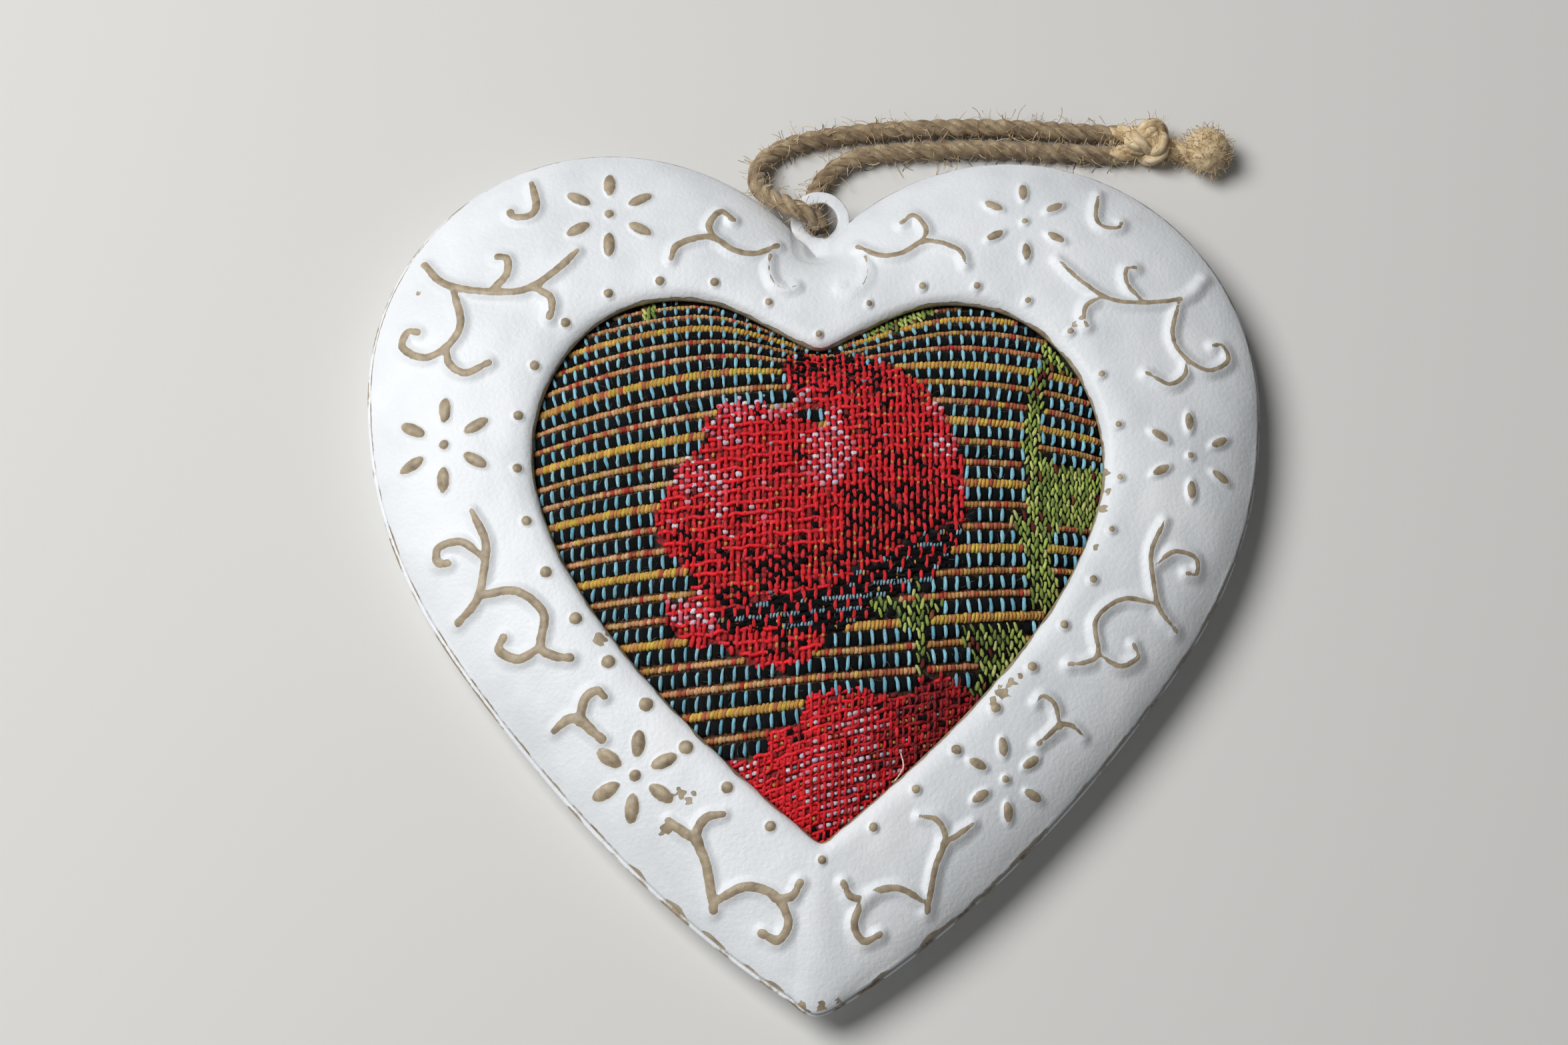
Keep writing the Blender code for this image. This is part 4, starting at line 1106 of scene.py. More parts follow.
yarnColours = {
    "blue": ("#90D2E8", "#A0DCEE", "#7CC2DA", "#98D8EC"),
    "ochre": ("#E2AE4E", "#D89C44", "#EBC05C", "#DDA654", "#E0C24E"),
    "rust": ("#CE8054", "#C06A46", "#D89060", "#BE5438", "#CC9450"),
    # pale rib shades, used more towards the left as painted light
    "peach": ("#E4AE7C", "#DCA06C", "#EABC8C", "#E0B878"),
    "olive": ("#C88E4C", "#BC8044", "#D4A05C", "#B87440", "#C8A04A"),
    "red": ("#EC1422", "#F21E2C", "#E00E1C", "#F02A36"),
    "darkRed": ("#A8141C", "#90121C", "#BA1822"),
    "pink": ("#F09AAA", "#EC7C90", "#F2B0BE"),
    "rose": ("#F25262", "#F0687A", "#EE4656"),
    "lilac": ("#EADFEA", "#F2EAF0", "#DCCBE0", "#E9D3DE"),
    "gold": ("#DC9446", "#E6A658", "#D08038", "#D8B060"),
    "green": ("#BED266", "#D0E078", "#AAC256", "#D8DE84"),
    "darkGreen": ("#8CA24A", "#9AAE52", "#788E3E"),
    "black": ("#0B0C0E", "#101113", "#08090A"),
    "wine": ("#6E1A16", "#7E2A1A", "#8A4A22"),
    "scarlet": ("#D0392C", "#C02C24", "#DC4A34"),
    "fadedBlue": ("#8FB8CA", "#A6CCDA", "#7CA2B4"),
}


def rowLift(x, y):
    # how far a woven row has drifted upward at a place, in mm
    fan = np.clip((y - weave["fanLevel"]) / weave["fanOver"], weave["fanLeast"], 1.0)
    fan = np.where((x > 0) & (fan > 0), fan * weave["fanRight"], fan)
    valley = weave["valleyDepth"] * np.exp(-((x - 1) / weave["valleyWidth"]) ** 2)
    valley = valley * smoothStep(y, *weave["valleyGrowth"])
    return weave["tilt"] * x - weave["fan"] * fan * x * x / 60 - valley


def insideOutline(x, y, corners):
    # whether each place lies inside the closed line through the corners
    inside = np.zeros(np.shape(x), bool)
    for (ax, ay), (bx, by) in zip(corners, corners[1:] + corners[:1]):
        if ay != by:
            inside ^= ((ay > y) != (by > y)) & (x < (bx - ax) * (y - ay) / (by - ay) + ax)
    return inside


def zoneAt(x, y):
    # 0 striped ground, 1 upper bloom, 2 lower bloom, 3 leaf, 4 the upper bloom's shade
    x, y = np.asarray(x, float), np.asarray(y, float)
    nearX, nearY = (part + 0.25 * softNoise(x, y, 2.2, seed) for part, seed in ((x, 31), (y, 32)))
    zone = np.zeros(x.shape, int)
    shapes = [(1, blooms["upper"]), (0, blooms["gap"]), (4, blooms["shade"]), (2, blooms["lower"])]
    for number, corners in shapes + [(3, leaf) for leaf in leaves]:
        zone[insideOutline(nearX, nearY, corners)] = number
    return zone


def bloomTone(x, y):
    # above 0 towards the pale threads, below 0 towards the black ones
    tone = 0.22 * softNoise(x, y, 3.2, 41)
    for sign, kind in ((1, "light"), (-1, "dark")):
        for cx, cy, radius, strength in blooms[kind]:
            tone = tone + sign * strength * np.exp(-((x - cx) ** 2 + (y - cy) ** 2) / radius ** 2)
    return tone


def rowLine(level, slope=None, whole=False):
    # one woven row as a line across the window; a slope makes it a straight slanting line instead
    x = np.arange(-weave["halfSpan"], weave["halfSpan"], weave["step"])
    if slope is None:
        # the rows stand closer together where the cloth falls away at the top
        above = max(level - weave["crowdFrom"], 0.0)
        base = level - weave["crowding"] * above ** 3
        base = base - weave["rightDrop"] * smoothStep(x, 2, 10) * smoothStep(above, 0, 10)
        # a row's lift depends on where it ends up, so it is found by repeating
        y = base
        for _ in range(31):
            y = base + rowLift(x, y)
    else:
        y = level + slope * x
    keep = np.full(x.shape, True) if whole else windowShare(x, y) < 1.0
    return np.stack([x[keep], y[keep]], 1)


def roomAt(x, low, high):
    # the distance between two rows at each place, as a share of their usual distance
    low, high = (np.interp(x, *rowLine(level, whole=True).T) for level in (low, high))
    return np.clip((high - low) / weave["rowPeriod"], 0.3, 1.15)


threads = {
    # piece; shift in x and y; width, length and thickness; lift over the cloth; lean. A pair is a
    # range to draw from
    "tick": ("blue_ticks", (-0.05, 0.05), (-0.05, 0.05), (0.36, 0.45), (1.6, 1.85), 0.55, 0.4, (-0.06, 0.18)),
    "pillow": ("black_pillows", 0, 0, 1.18, 1.8, 0.95, 0.02, (-0.05, 0.05)),
    "broadRib": ("broad_ribs", 0, 0, 0.56, (1.1, 1.3), 0.72, 0.2, (0.26, 0.42)),
    "fineRib": ("fine_ribs", 0, 0, 0.56, (0.72, 0.88), 0.56, 0.2, (0.26, 0.42)),
    "upperFloat": (
        "red_floats", (-0.07, 0.07), (-0.12, 0.12), (0.38, 0.48), (1.05, 1.4), 0.5, 0.4, (-0.1, 0.26)),
    "lowerFloat": ("red_floats", 0, (-0.08, 0.08), (0.32, 0.4), (0.9, 1.2), 0.46, 0.38, (-0.1, 0.22)),
    "shadeFloat": ("red_floats", 0, 0, 0.42, (1.15, 1.5), 0.5, 0.44, (-0.05, 0.16)),
    "blueDash": ("bloom_beads", 0, 0, (0.25, 0.31), (0.58, 0.74), 0.44, 0.42, (0.1, 0.3)),
    "darkDash": ("bloom_beads", 0, 0, 0.42, 0.5, 0.4, 0.28, 0),
    "goldDash": ("bloom_beads", 0, 0, 0.3, 0.7, 0.4, 0.42, 0),
    "flatBead": ("bloom_beads", 0, 0, 0.5, 0.8, 0.4, 0.1, 0),
    "paleBead": ("bloom_beads", 0, 0, 0.74, 0.74, 0.4, 0.34, 0),
    "longGold": ("bloom_beads", 0, 0, 0.34, 0.8, 0.4, 0.34, 0.1),
    "goldBead": ("bloom_beads", 0, 0, 0.38, 0.66, 0.36, 0.3, 0.1),
    "redBead": ("bloom_beads", 0, 0, 0.6, 1.0, 0.44, 0.2, 0),
    "blueBead": ("bloom_beads", 0, 0, 0.5, 0.5, 0.4, 0.26, 0),
    "broadBlack": ("black_pillows", 0, 0, 0.9, 0.85, 0.5, 0.3, 0),
    "blackBead": ("black_pillows", 0, 0, 0.62, 0.8, 0.48, 0.22, 0),
    "leaf": ("leaf_floats", (-0.06, 0.06), 0, (0.36, 0.44), (1.1, 1.45), 0.42, 0.3, (-0.1, 0.1)),
}
draw = np.random.RandomState(weave["seed"])
crossing = namedtuple("crossing", "place column tone room")
stitches = {name: [] for name in (
    "blue_ticks", "broad_ribs", "fine_ribs", "black_pillows", "red_floats", "bloom_beads", "leaf_floats")}


def pick(kind):
    names = yarnColours[kind]
    colour = np.array(linear(names[draw.randint(len(names))]))
    colour[:3] *= draw.uniform(0.85, 1.12)
    return colour


def drawn(value):
    # a number as it is, or one drawn from a range
    return draw.uniform(*value) if isinstance(value, tuple) else value


def stitch(kind, place, colour, high=1.0, wide=1.0, thick=1.0, lean=0.0):
    # sizes are shares of the thread's own; the colour is a yarn, or two with the chance of the first
    piece, shiftX, shiftY, width, length, thickness, lift, tilt = threads[kind]
    x, y, slope = place
    x, y, width, length = x + drawn(shiftX), y + drawn(shiftY), drawn(width) * wide, drawn(length) * high
    if isinstance(colour, tuple):
        colour = colour[0] if draw.rand() < colour[1] else colour[2]
    lean = lean + drawn(tilt)
    size = (width * mm, length * mm, thickness * thick * mm)
    stitches[piece].append((x, y, slope, size, pick(colour), lift, lean))


def darkRedAndShadeShare(x):
    # the lower bloom's threads darken to the right: partly their own deeper red, partly painted shade
    return (x - 3) / 9


def zoneRuns(line, zones):
    # the stretches of a row that lie in the given zones
    if len(line) < 3:
        return []
    inside = np.isin(zoneAt(line[:, 0], line[:, 1]), zones)
    cuts = np.flatnonzero(np.diff(inside.astype(int))) + 1
    parts = zip(np.split(line, cuts), np.split(inside, cuts))
    return [part for part, keep in parts if keep[0] and len(part) > 6]


def crossings(zones, line, pitch, shift=0.0, rise=0.0, rows=None):
    # where a row crosses evenly spaced upright threads inside the given zones: its x, y and slope, the
    # thread's number, the bloom's tone, and the room between the rows at two levels
    if len(line) < 3:
        return []
    reach = int(weave["halfSpan"] * 1.2 / pitch)
    numbers = np.arange(-reach, reach)
    x = (numbers + shift) * pitch
    # threads stand closer together in the picture where the cloth falls away at the sides
    x = x * (1 - weave["edgeSqueeze"] * x * x)
    keep = (x > line[0, 0]) & (x < line[-1, 0])
    numbers, x = numbers[keep], x[keep]
    step = 0.3
    y, ahead, behind = (np.interp(x + move, *line.T) for move in (0.0, step, -step))
    y, slope = y + rise, np.arctan2(ahead - behind, 2 * step)
    room = roomAt(x, *rows) if rows else np.ones(len(x))
    keep = np.isin(zoneAt(x, y), zones)
    x, y, slope, numbers, tone, room = (
        part[keep].tolist() for part in (x, y, slope, numbers, bloomTone(x, y), room))
    return [crossing(*parts) for parts in zip(zip(x, y, slope), numbers, tone, room)]


def layStripes():
    # ribbed rows in three colours, and between them black rows with blue floats
    period = weave["rowPeriod"]
    for number in range(-24, 10):
        level = weave["firstRow"] + period * number
        kind = ("ochre", "rust", "olive")[number % 3]
        line, rows = rowLine(level + period / 2), (level, level + period)
        for spot in crossings((0,), line, weave["tickPitch"], rows=rows):
            stitch("tick", spot.place, "blue", spot.room)
        for spot in crossings((0, 3), line, weave["tickPitch"], 0.5, rows=rows):
            stitch("pillow", spot.place, "black", spot.room, thick=0.4 + 0.6 * spot.room)
        rows = (level - period / 2, level + period / 2)
        for spot in crossings((0,), rowLine(level), weave["ribPitch"], rows=rows):
            chance = draw.rand()
            high = 0.1 + 0.9 * spot.room
            if kind == "ochre":
                stitch("broadRib", spot.place, "rust" if chance > 0.8 else kind, high)
                continue
            shade = kind
            if chance > 0.8:
                shade = ("ochre", "rust", "scarlet")[draw.randint(3)]
            # pale peach ribs grow more common towards the left: painted light on the side facing the lamp
            elif chance > np.interp(spot.place[0], [-12, 8], [0.25, 0.68]):
                shade = "peach"
            stitch("fineRib", spot.place, shade, high, thick=0.5 + 0.5 * spot.room)


def layBead(place, tone, high):
    # what shows between the red threads
    chance = draw.rand()
    tone = tone + draw.uniform(-0.18, 0.18)
    size = draw.uniform(0.85, 1.12)
    if tone > 0.28:
        stitch("paleBead", place, "lilac" if chance < 0.55 else "pink", high * size, high ** 0.5 * size)
    elif tone < -0.25 and chance < 0.58:
        stitch("broadBlack", place, "black", high * size)
    elif tone < -0.2 and chance > 0.8:
        stitch("longGold", place, "gold", high)
    elif chance < 0.22:
        stitch("goldBead", place, "gold", high)
    elif chance < (0.38 if place[0] > 2 else 0.3):
        stitch("blackBead", place, "black", high)
    elif chance < 0.95:
        stitch("redBead", place, "red" if chance < 0.75 else "darkRed", high * size)
    elif chance < 0.98:
        stitch("blueBead", place, "fadedBlue", high)


def layUpperBloom():
    # upright red floats in a brick pattern on the right, and an open grid of them on the left
    period = weave["rowPeriod"]
    for number in range(-30, 8):
        level = weave["firstRow"] + period / 2 * number
        line, rows = rowLine(level), (level - period / 2, level + period / 2)
        for parity, rise in ((0, 0.0), (1, period / 4)):
            for spot in crossings((1,), line, weave["floatPitch"], 0.0, rise, rows):
                if spot.column % 2 != parity:
                    continue
                x, y, slope = spot.place
                right = float(np.clip((x + 4) / 5, 0, 1))
                if draw.rand() < 0.62 + 0.33 * right - 0.2 * (spot.tone < -0.5):
                    colour = "red" if draw.rand() < 0.94 else "darkRed"
                    # pinker floats in the lit places: painted highlight on the lit red threads
                    if spot.tone > 0.45 and draw.rand() < 0.4:
                        colour = "rose"
                    stitch("upperFloat", spot.place, colour, 0.25 + 0.75 * spot.room)
                else:
                    stitch("flatBead", spot.place, ("red", 0.7, "darkRed"), spot.room)
                layBead((x, y + period / 4, slope), spot.tone, 0.85 * spot.room)


def layLowerBloom():
    # an even grid: a bead in each cell, upright floats between the cells
    pitch, tilt = weave["lowerPitch"], weave["lowerSlope"]
    for number in range(int(-58 / pitch), int(-28 / pitch)):
        line = rowLine(number * pitch, tilt)
        for spot in crossings((2,), line, weave["floatPitch"]):
            layBead(spot.place, spot.tone, 0.66)
        for spot in crossings((2,), line, weave["floatPitch"], 0.5):
            if draw.rand() < 0.86:
                x, y, slope = spot.place
                # darker red floats towards the right: partly the yarn's own colour, partly painted shade
                colour = "red" if spot.tone > -0.2 and draw.rand() > darkRedAndShadeShare(x) else "darkRed"
                stitch("lowerFloat", (x, y, slope - tilt), colour)


def layShade():
    # black strands with short runs of pale blue dashes between them and red floats over them
    for number in range(-60, -20):
        line = rowLine(weave["firstRow"] + weave["rowPeriod"] / 4 * number)
        if number % 2:
            for spot in crossings((4,), line, weave["dashPitch"]):
                if softNoise(spot.place[0] * 0.8, number * 3.0, 1.7, 71) > -0.1:
                    stitch("blueDash", spot.place, ("fadedBlue", 0.92, "gold"))
                elif draw.rand() < 0.16:
                    stitch("darkDash", spot.place, ("darkRed", 0.6, "red"))
            continue
        for spot in crossings((4,), line, weave["tickPitch"], 0.5 * (number // 2 % 2)):
            chance = draw.rand()
            place = (*spot.place[:2], weave["shadeTurn"])
            if chance < 0.8:
                stitch("shadeFloat", place, "red")
            elif chance < 0.95:
                stitch("goldDash", place, "gold")


def layLeaves():
    # pairs of green floats leaning against each other
    for number in range(-60, 30):
        line = rowLine(weave["firstRow"] + weave["rowPeriod"] / 4 * number)
        for spot in crossings((3,), line, weave["leafPitch"]):
            if (spot.column + number) % 2 == 0:
                chance = draw.rand()
                colour = "wine" if chance > 0.93 else "green" if chance < 0.5 else "darkGreen"
                stitch("leaf", spot.place, colour, lean=0.3 if spot.column % 2 else -0.22)


layStripes()
layUpperBloom()
layLowerBloom()
layShade()
layLeaves()
print("weave laid out:", {name: len(made) for name, made in stitches.items()})

# the red rows of both blooms and the black ones of the shade
redRuns, blackRuns = [], []
for number in range(-50, 12):
    redRuns += zoneRuns(rowLine(weave["firstRow"] + weave["rowPeriod"] / 2 * (number + 0.5)), (1,))
for number in range(-62, -28):
    redRuns += zoneRuns(rowLine((number + 0.5) * weave["lowerPitch"], weave["lowerSlope"]), (2,))
for number in range(-120, -40):
    blackRuns += zoneRuns(rowLine(weave["firstRow"] + weave["rowPeriod"] / 8 * number), (4,))


def yarnMaterial(name, sheen, roughness, shine):
    # Spun polyester and cotton yarn, jacquard woven: soft, a little silky, twisted fibres along each float
    surface, add = newSurface(name)
    colour = add("Attribute", attribute_name="yarnColour")
    onYarn = add("Attribute", attribute_name="yarnPlace").outputs["Vector"]
    # about six fibres across a float, wound round it at a slant
    turned = add("Mapping", {"Vector": onYarn, "Rotation": (0.0, 0.0, 0.55), "Scale": (6.5, 1.5, 6.5)})
    place = add("TexCoord").outputs["Object"]
    own = add("VectorMath", place, {"Scale": weave["floatShades"] / mm}, operation="SCALE")
    spot = add("VectorMath", turned, own, operation="ADD")
    fibre = add("TexNoise", {"Vector": spot, "Scale": 1.0, "Detail": 3.0, "Roughness": 0.65})
    shade = add("MapRange", {"Value": fibre, "From Min": 0.3, "From Max": 0.7, "To Min": 0.5, "To Max": 1.3})
    return coat(surface, {
        "Base Color": add("VectorMath", colour, {"Scale": shade}, operation="SCALE"),
        "Normal": add("Bump", {"Height": fibre, "Strength": 0.9, "Distance": 0.16 * mm}),
        "Roughness": roughness, "IOR": 1.5, "Specular IOR Level": shine,
        "Sheen Weight": sheen, "Sheen Roughness": 0.4})


def stitchNodes():
    # sets one rounded float on each point, turned and sized by the point's own values
    add, given = newNodes("woven stitches", {
        "Points": "Geometry", "Bow": "Float", "Unevenness": "Float", "Material": "Material"})
    spots = add("MeshToPoints", given["Points"])
    ball = add("MeshUVSphere", {"Segments": 7, "Rings": 5, "Radius": 0.5})
    lying = add("Transform", {"Geometry": ball, "Rotation": (math.pi / 2, 0, 0)})
    place = add("InputPosition")
    parts = add("SeparateXYZ", place).outputs
    far = add("Math", parts["Y"], parts["Y"], operation="MULTIPLY")
    # fuller towards the ends than a ball, then bowed down at both ends
    fuller = add("Math", far, 2.0, 1.0, operation="MULTIPLY_ADD")
    across, up = (add("Math", parts[axis], fuller, operation="MULTIPLY") for axis in ("X", "Z"))
    sunk = add("Math", far, given["Bow"], up, operation="MULTIPLY_ADD")
    bowed = add("SetPosition", {
        "Geometry": lying, "Position": add("CombineXYZ", across, parts["Y"], sunk)})
    marked = add("StoreNamedAttribute", {
        "Geometry": bowed, "Name": "yarnPlace", "Value": place}, domain="POINT", data_type="FLOAT_VECTOR")
    turn, size = (add("InputNamedAttribute", {"Name": name}, data_type="FLOAT_VECTOR").outputs["Attribute"]
                  for name in ("stitchTurn", "stitchSize"))
    whole = add("RealizeInstances", add("InstanceOnPoints", {
        "Points": spots, "Instance": marked, "Rotation": add("EulerToRotation", turn), "Scale": size}))
    # no two floats have the same outline
    wander = add("TexNoise", {"Scale": weave["outlineWaves"] / mm, "Detail": 1.0}).outputs["Color"]
    centred = add("VectorMath", wander, (0.5, 0.5, 0.5), operation="SUBTRACT")
    step = add("VectorMath", centred, {"Scale": given["Unevenness"]}, operation="SCALE")
    uneven = add("SetPosition", {"Geometry": whole, "Offset": step})
    return closeNodes(add, uneven, given["Material"])


def weftNodes():
    # sweeps a round thread along each drawn row
    add, given = newNodes("weft threads", {
        "Rows": "Geometry", "Thread radius": "Float", "Sides": "Int", "Material": "Material"})
    curve = add("MeshToCurve", given["Rows"])
    along = add("SplineParameter").outputs["Length"]
    stretched = add("Math", along, weave["weftShades"] / mm, operation="MULTIPLY")
    marked = add("StoreNamedAttribute", {
        "Geometry": curve, "Name": "yarnPlace", "Value": add("CombineXYZ", stretched, stretched)},
        domain="POINT", data_type="FLOAT_VECTOR")
    profile = add("CurvePrimitiveCircle", {"Resolution": given["Sides"], "Radius": given["Thread radius"]})
    swept = add("CurveToMesh", {"Curve": marked, "Profile Curve": profile, "Fill Caps": True})
    return closeNodes(add, swept, given["Material"])


def sewStitches(name, tree, surface):
    points, turns, sizes, colours = [], [], [], []
    for x, y, slope, size, colour, lift, lean in stitches[name]:
        place, normal = clothAt(x, y, lift)
        along = Vector((math.cos(slope), math.sin(slope), 0))
        along = (along - normal * along.dot(normal)).normalized()
        up = normal.cross(along)
        across, rise = math.cos(lean), math.sin(lean)
        along, up = along * across - up * rise, up * across + along * rise
        turns.append(Matrix((along, up, normal)).transposed().to_euler())
        points.append(place)
        sizes.append(size)
        colours.append(colour)
    source = newMesh(name + "_points", points, [], attributes={
        "stitchTurn": turns, "stitchSize": sizes, "yarnColour": colours})
    thing = grow(name, source, tree, {
        "Bow": weave["bow"], "Unevenness": weave["unevenness"] * mm, "Material": surface})
    return dress(thing, surface, "fabric_cushion")


def layThreads(name, runs, tree, surface, radius):
    # each run is its places, as x, y and lift over the cloth, and their colours
    points, edges, colours = [], [], []
    for line, shades in runs:
        start = len(points)
        points += [clothAt(*place)[0] for place in line]
        colours += shades
        edges += [(start + i, start + i + 1) for i in range(len(line) - 1)]
    source = newMesh(name + "_rows", points, [], edges=edges, attributes={"yarnColour": colours})
    thing = grow(name, source, tree, {"Thread radius": radius * mm, "Sides": 6, "Material": surface})
    return dress(thing, surface, "fabric_cushion")


wefts = {
    "redRadius": 0.235, "redSpacing": 0.35, "blackRadius": 0.27, "blackSpacing": 0.45, "sway": 0.2,
    # below this height the red rows belong to the lower bloom
    "lowerTop": -33.0,
    # more than 0 where the red rows lie on top: x and how much, and all over the lower bloom
    "onTop": ((-12.0, 0.75), (-2.0, 0.5), (5.0, -0.2)), "lowerOnTop": 0.35,
    # lift over the cloth, what lying on top adds, and what pale and black beads take away
    "lift": 0.12, "topLift": 0.3, "paleDip": 0.12, "blackDip": 0.3,
}


def weftRun(run, spacing, liftOf, colourOf):
    line = evenPoints(run, max(3, int(lengthAlong(run)[-1] / spacing)), withEnd=True)
    x, y = line.T
    lifts = liftOf(x, y)
    y = y + wefts["sway"] * softNoise(x, y * 3, 2.1, 61)
    return np.column_stack([x, y, lifts]), [colourOf(*place) for place in zip(x, y)]


def redWeftLift(x, y):
    # the red rows lie on top on the left and in the lower bloom, and dip under the floats elsewhere
    onTop = np.interp(x, *zip(*wefts["onTop"])) + 0.7 * softNoise(x, y, 3.4, 51)
    lower = wefts["lowerOnTop"] + 0.5 * softNoise(x, y, 2.4, 52)
    onTop = np.where(y < wefts["lowerTop"], lower, onTop)
    tone = bloomTone(x, y)
    dips = wefts["paleDip"] * smoothStep(tone * 2), wefts["blackDip"] * smoothStep(-tone * 2.2)
    return wefts["lift"] + wefts["topLift"] * smoothStep(onTop) - dips[0] - dips[1]


def blackWeftLift(x, y):
    return 0.18 + 0.22 * softNoise(x, y * 2.5, 1.3, 53)


def redWeftColour(x, y):
    # low rows turn dark red to the right: partly deeper red yarn, partly painted shade
    deepRedAndShade = y < wefts["lowerTop"] and draw.rand() < darkRedAndShadeShare(x)
    return pick("darkRed" if deepRedAndShade or float(bloomTone(x, y)) < -0.5 else "red")


stitchTree = stitchNodes()
weftTree = weftNodes()
cottonYarn = yarnMaterial("spun cotton yarn", 0.02, 0.95, shine=0.2)
silkyYarn = yarnMaterial("silky polyester yarn", 0.08, 0.6, shine=0.4)
for name in stitches:
    sewStitches(name, stitchTree, cottonYarn if name == "black_pillows" else silkyYarn)
blackRuns = [
    weftRun(run, wefts["blackSpacing"], blackWeftLift, lambda x, y: pick("black")) for run in blackRuns]
layThreads("black_wefts", blackRuns, weftTree, cottonYarn, wefts["blackRadius"])
redRuns = [weftRun(run, wefts["redSpacing"], redWeftLift, redWeftColour) for run in redRuns]
layThreads("red_wefts", redRuns, weftTree, silkyYarn, wefts["redRadius"])
print("threads woven")


def clothGroundMaterial():
    # The ground of the jacquard: tight black and coloured yarns, seen only between the floats
    surface, add = newSurface("jacquard ground cloth")
    colour = add("Attribute", attribute_name="groundColour")
    place = add("TexCoord").outputs["Object"]
    cells = add("TexVoronoi", {"Vector": place, "Scale": weave["groundThreads"] / mm})
    # darker between the bumps of the ground's threads: painted shade in the gaps
    shade = add("MapRange", {"Value": cells, "From Max": 0.7, "To Min": 1.15, "To Max": 0.45})
    return coat(surface, {
        "Base Color": add("VectorMath", colour, {"Scale": shade}, operation="SCALE"),
        "Normal": add("Bump", {"Height": cells, "Strength": 0.8, "Distance": 0.2 * mm}, invert=True),
        "Roughness": 0.85, "Sheen Weight": 0.1})


def finer(grid, axis, steps, closed):
    # the same surface with more rows along one axis, on a smooth curve through the old rows
    grid = np.moveaxis(grid, axis, 0)
    if closed:
        padded = np.concatenate([grid[-1:], grid, grid[:2]])
    else:
        padded = np.concatenate([2 * grid[:1] - grid[1:2], grid, 2 * grid[-1:] - grid[-2:-1]])
    four = (padded[:-3], padded[1:-2], padded[2:-1], padded[3:])
    made = np.stack([curved(*four, t) for t in np.arange(steps) / steps], 1).reshape(-1, *grid.shape[1:])
    if not closed:
        made = np.concatenate([made, grid[-1:]])
    return np.moveaxis(made, 0, axis)


def makeCushion():
    around = len(windowOutline(cushion["fineness"]))
    grid = finer(finer(cushionShape[:-2].reshape(-1, around, 3), 0, 3, False), 1, 2, True)
    points = np.concatenate([grid.reshape(-1, 3), cushionShape[-2:]])
    count = len(points)
    x, y = points[:, 0], points[:, 1]
    zone, tone = zoneAt(x, y), bloomTone(x, y)
    bloom = (zone == 1) | (zone == 2)
    row = np.abs(((y - rowLift(x, y) - weave["firstRow"]) / weave["rowPeriod"] + 0.5) % 1 - 0.5)
    colours = np.zeros((count, 4))
    # the blooms' ground is darker right of the middle: partly its own deep red, partly painted shade
    for where, colour in (
            (zone >= 0, "#15100E"), (bloom, "#A81820"), (bloom & (x > 2), "#5C0C12"),
            ((zone == 4) | ((zone == 1) & (tone < -0.4)), "#0E0C0E"), (bloom & (tone > 0.5), "#A85868"),
            (zone == 3, "#33401A"), ((zone == 0) & (row < 0.2), "#6E451F")):
        colours[where] = linear(colour)
    thing = newMesh("fabric_cushion_body", points, cappedFaces(len(grid), 2 * around, count - 2, count - 1),
                    attributes={"groundColour": colours})
    dress(thing, clothGroundMaterial(), "fabric_cushion", "fabric_cushion")


lint = {
    "density": 0.9e6, "length": 1.7, "thickness": 0.011, "lean": 1.2, "seed": 5, "fibreShades": 0.5,
    "steepest": 0.3, "reach": 0.97,
    "stops": ((0.4, "#2A2624"), (0.55, "#7A6A60"), (0.7, "#C8C0B8")),
}
looseThread = {
    "route": ((8.4, -40.2), (8.5, -41.5), (8.0, -42.6), (7.4, -43.6)), "radius": 0.09, "colour": "#ECD0C4",
    # share of the way along and height over the cloth
    "lift": ((0, 0.3), (0.5, 1.1), (1, 0.7)),
}


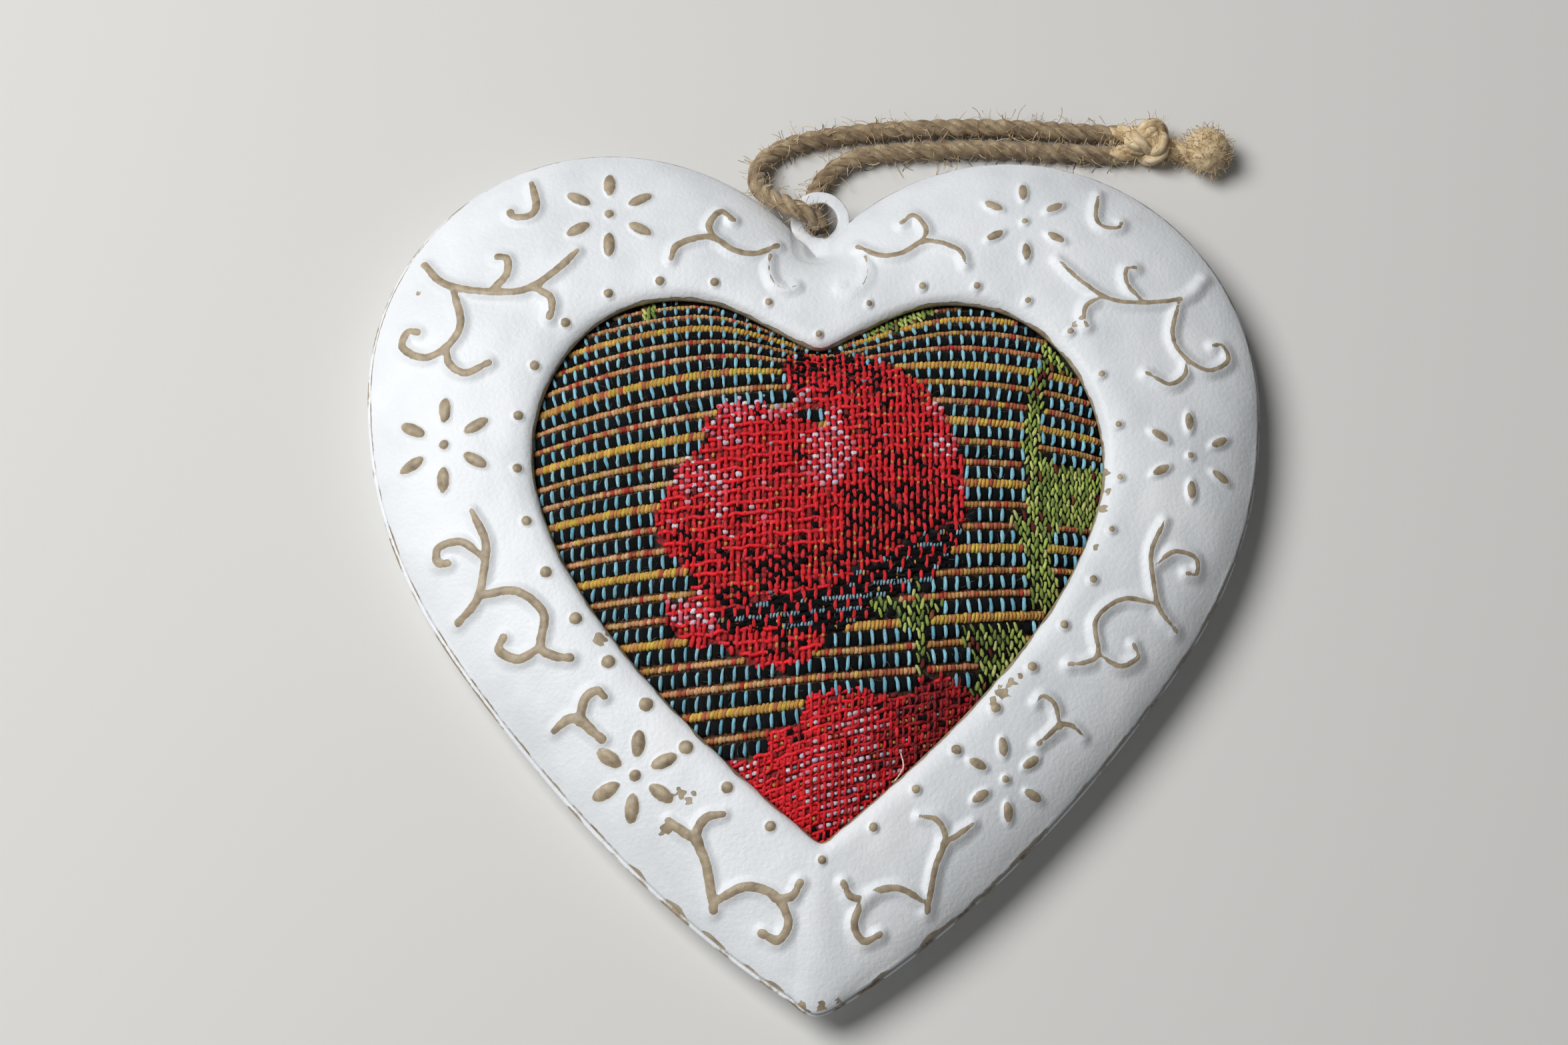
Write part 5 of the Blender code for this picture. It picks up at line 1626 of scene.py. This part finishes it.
def addLint():
    # Lint: fine loose cotton fibres that stand out of the woven face and catch the light
    surface = fibreMaterial("fine cotton lint", lint["fibreShades"], lint["stops"])
    mesh = bpy.data.objects["fabric_cushion_body"].data.copy()
    trimmed = bmesh.new()
    trimmed.from_mesh(mesh)
    # no fibres on steep places or under the metal
    gone = []
    for face in trimmed.faces:
        centre = face.calc_center_median()
        share = windowShare(centre.x / mm, centre.y / mm - heartPlace["widestLineY"])
        if face.normal.z < lint["steepest"] or share > lint["reach"]:
            gone.append(face)
    bmesh.ops.delete(trimmed, geom=gone, context="FACES")
    trimmed.to_mesh(mesh)
    trimmed.free()
    fibres = grow("fabric_lint", addObject("lint_source", mesh), fibreNodes(), {
        "Density": lint["density"], "Length": lint["length"] * mm, "Thickness": lint["thickness"] * mm,
        "Lean": lint["lean"], "Seed": lint["seed"], "Material": surface})
    dress(fibres, surface, "fabric_cushion")


def addLooseThread():
    # one pale thread end that has come free of the lower bloom
    line = smoothPath(looseThread["route"], 0.25)[:14]
    lifts = np.interp(np.linspace(0, 1, 14), *zip(*looseThread["lift"]))
    run = (np.column_stack([line, lifts]), [linear(looseThread["colour"])] * 14)
    layThreads("loose_thread", [run], weftTree, cottonYarn, looseThread["radius"])


makeCushion()
addLint()
addLooseThread()
print("cushion padded")


# Pale floor and soft light from the upper left

studio = {
    "floor": "#D9D8D5", "keyPower": 4.75, "keySize": 0.42, "keyPlace": (-0.36, 0.14, 0.57),
    "fillPower": 0.5, "fillSize": 0.8, "fillPlace": (-0.3, -0.5, 0.6), "world": 0.07,
}


def areaLight(name, place, size, power):
    lamp = bpy.data.lights.new(name, "AREA")
    lamp.shape, lamp.size, lamp.energy = "DISK", size, power
    thing = addObject(name, lamp)
    thing.location = place
    thing.rotation_euler = Vector(place).to_track_quat("Z", "Y").to_euler()


def makeStudio():
    bpy.ops.mesh.primitive_plane_add(size=3.0)
    floor = bpy.context.object
    floor.name = "floor"
    # A matt pale board: even and dull, so that shadows read on it
    surface, _ = newSurface("matt pale board")
    floor.data.materials.append(coat(surface, {"Base Color": linear(studio["floor"]), "Roughness": 0.9}))
    areaLight("key", studio["keyPlace"], studio["keySize"], studio["keyPower"])
    areaLight("fill", studio["fillPlace"], studio["fillSize"], studio["fillPower"])
    world = bpy.data.worlds.new("studio")
    bpy.context.scene.world = world
    world.use_nodes = True
    plug(world.node_tree.nodes["Background"], {"Color": (0.95, 0.97, 1.0, 1.0), "Strength": studio["world"]})
    bpy.context.scene.view_settings.view_transform = "Standard"


makeStudio()
print("studio lit")
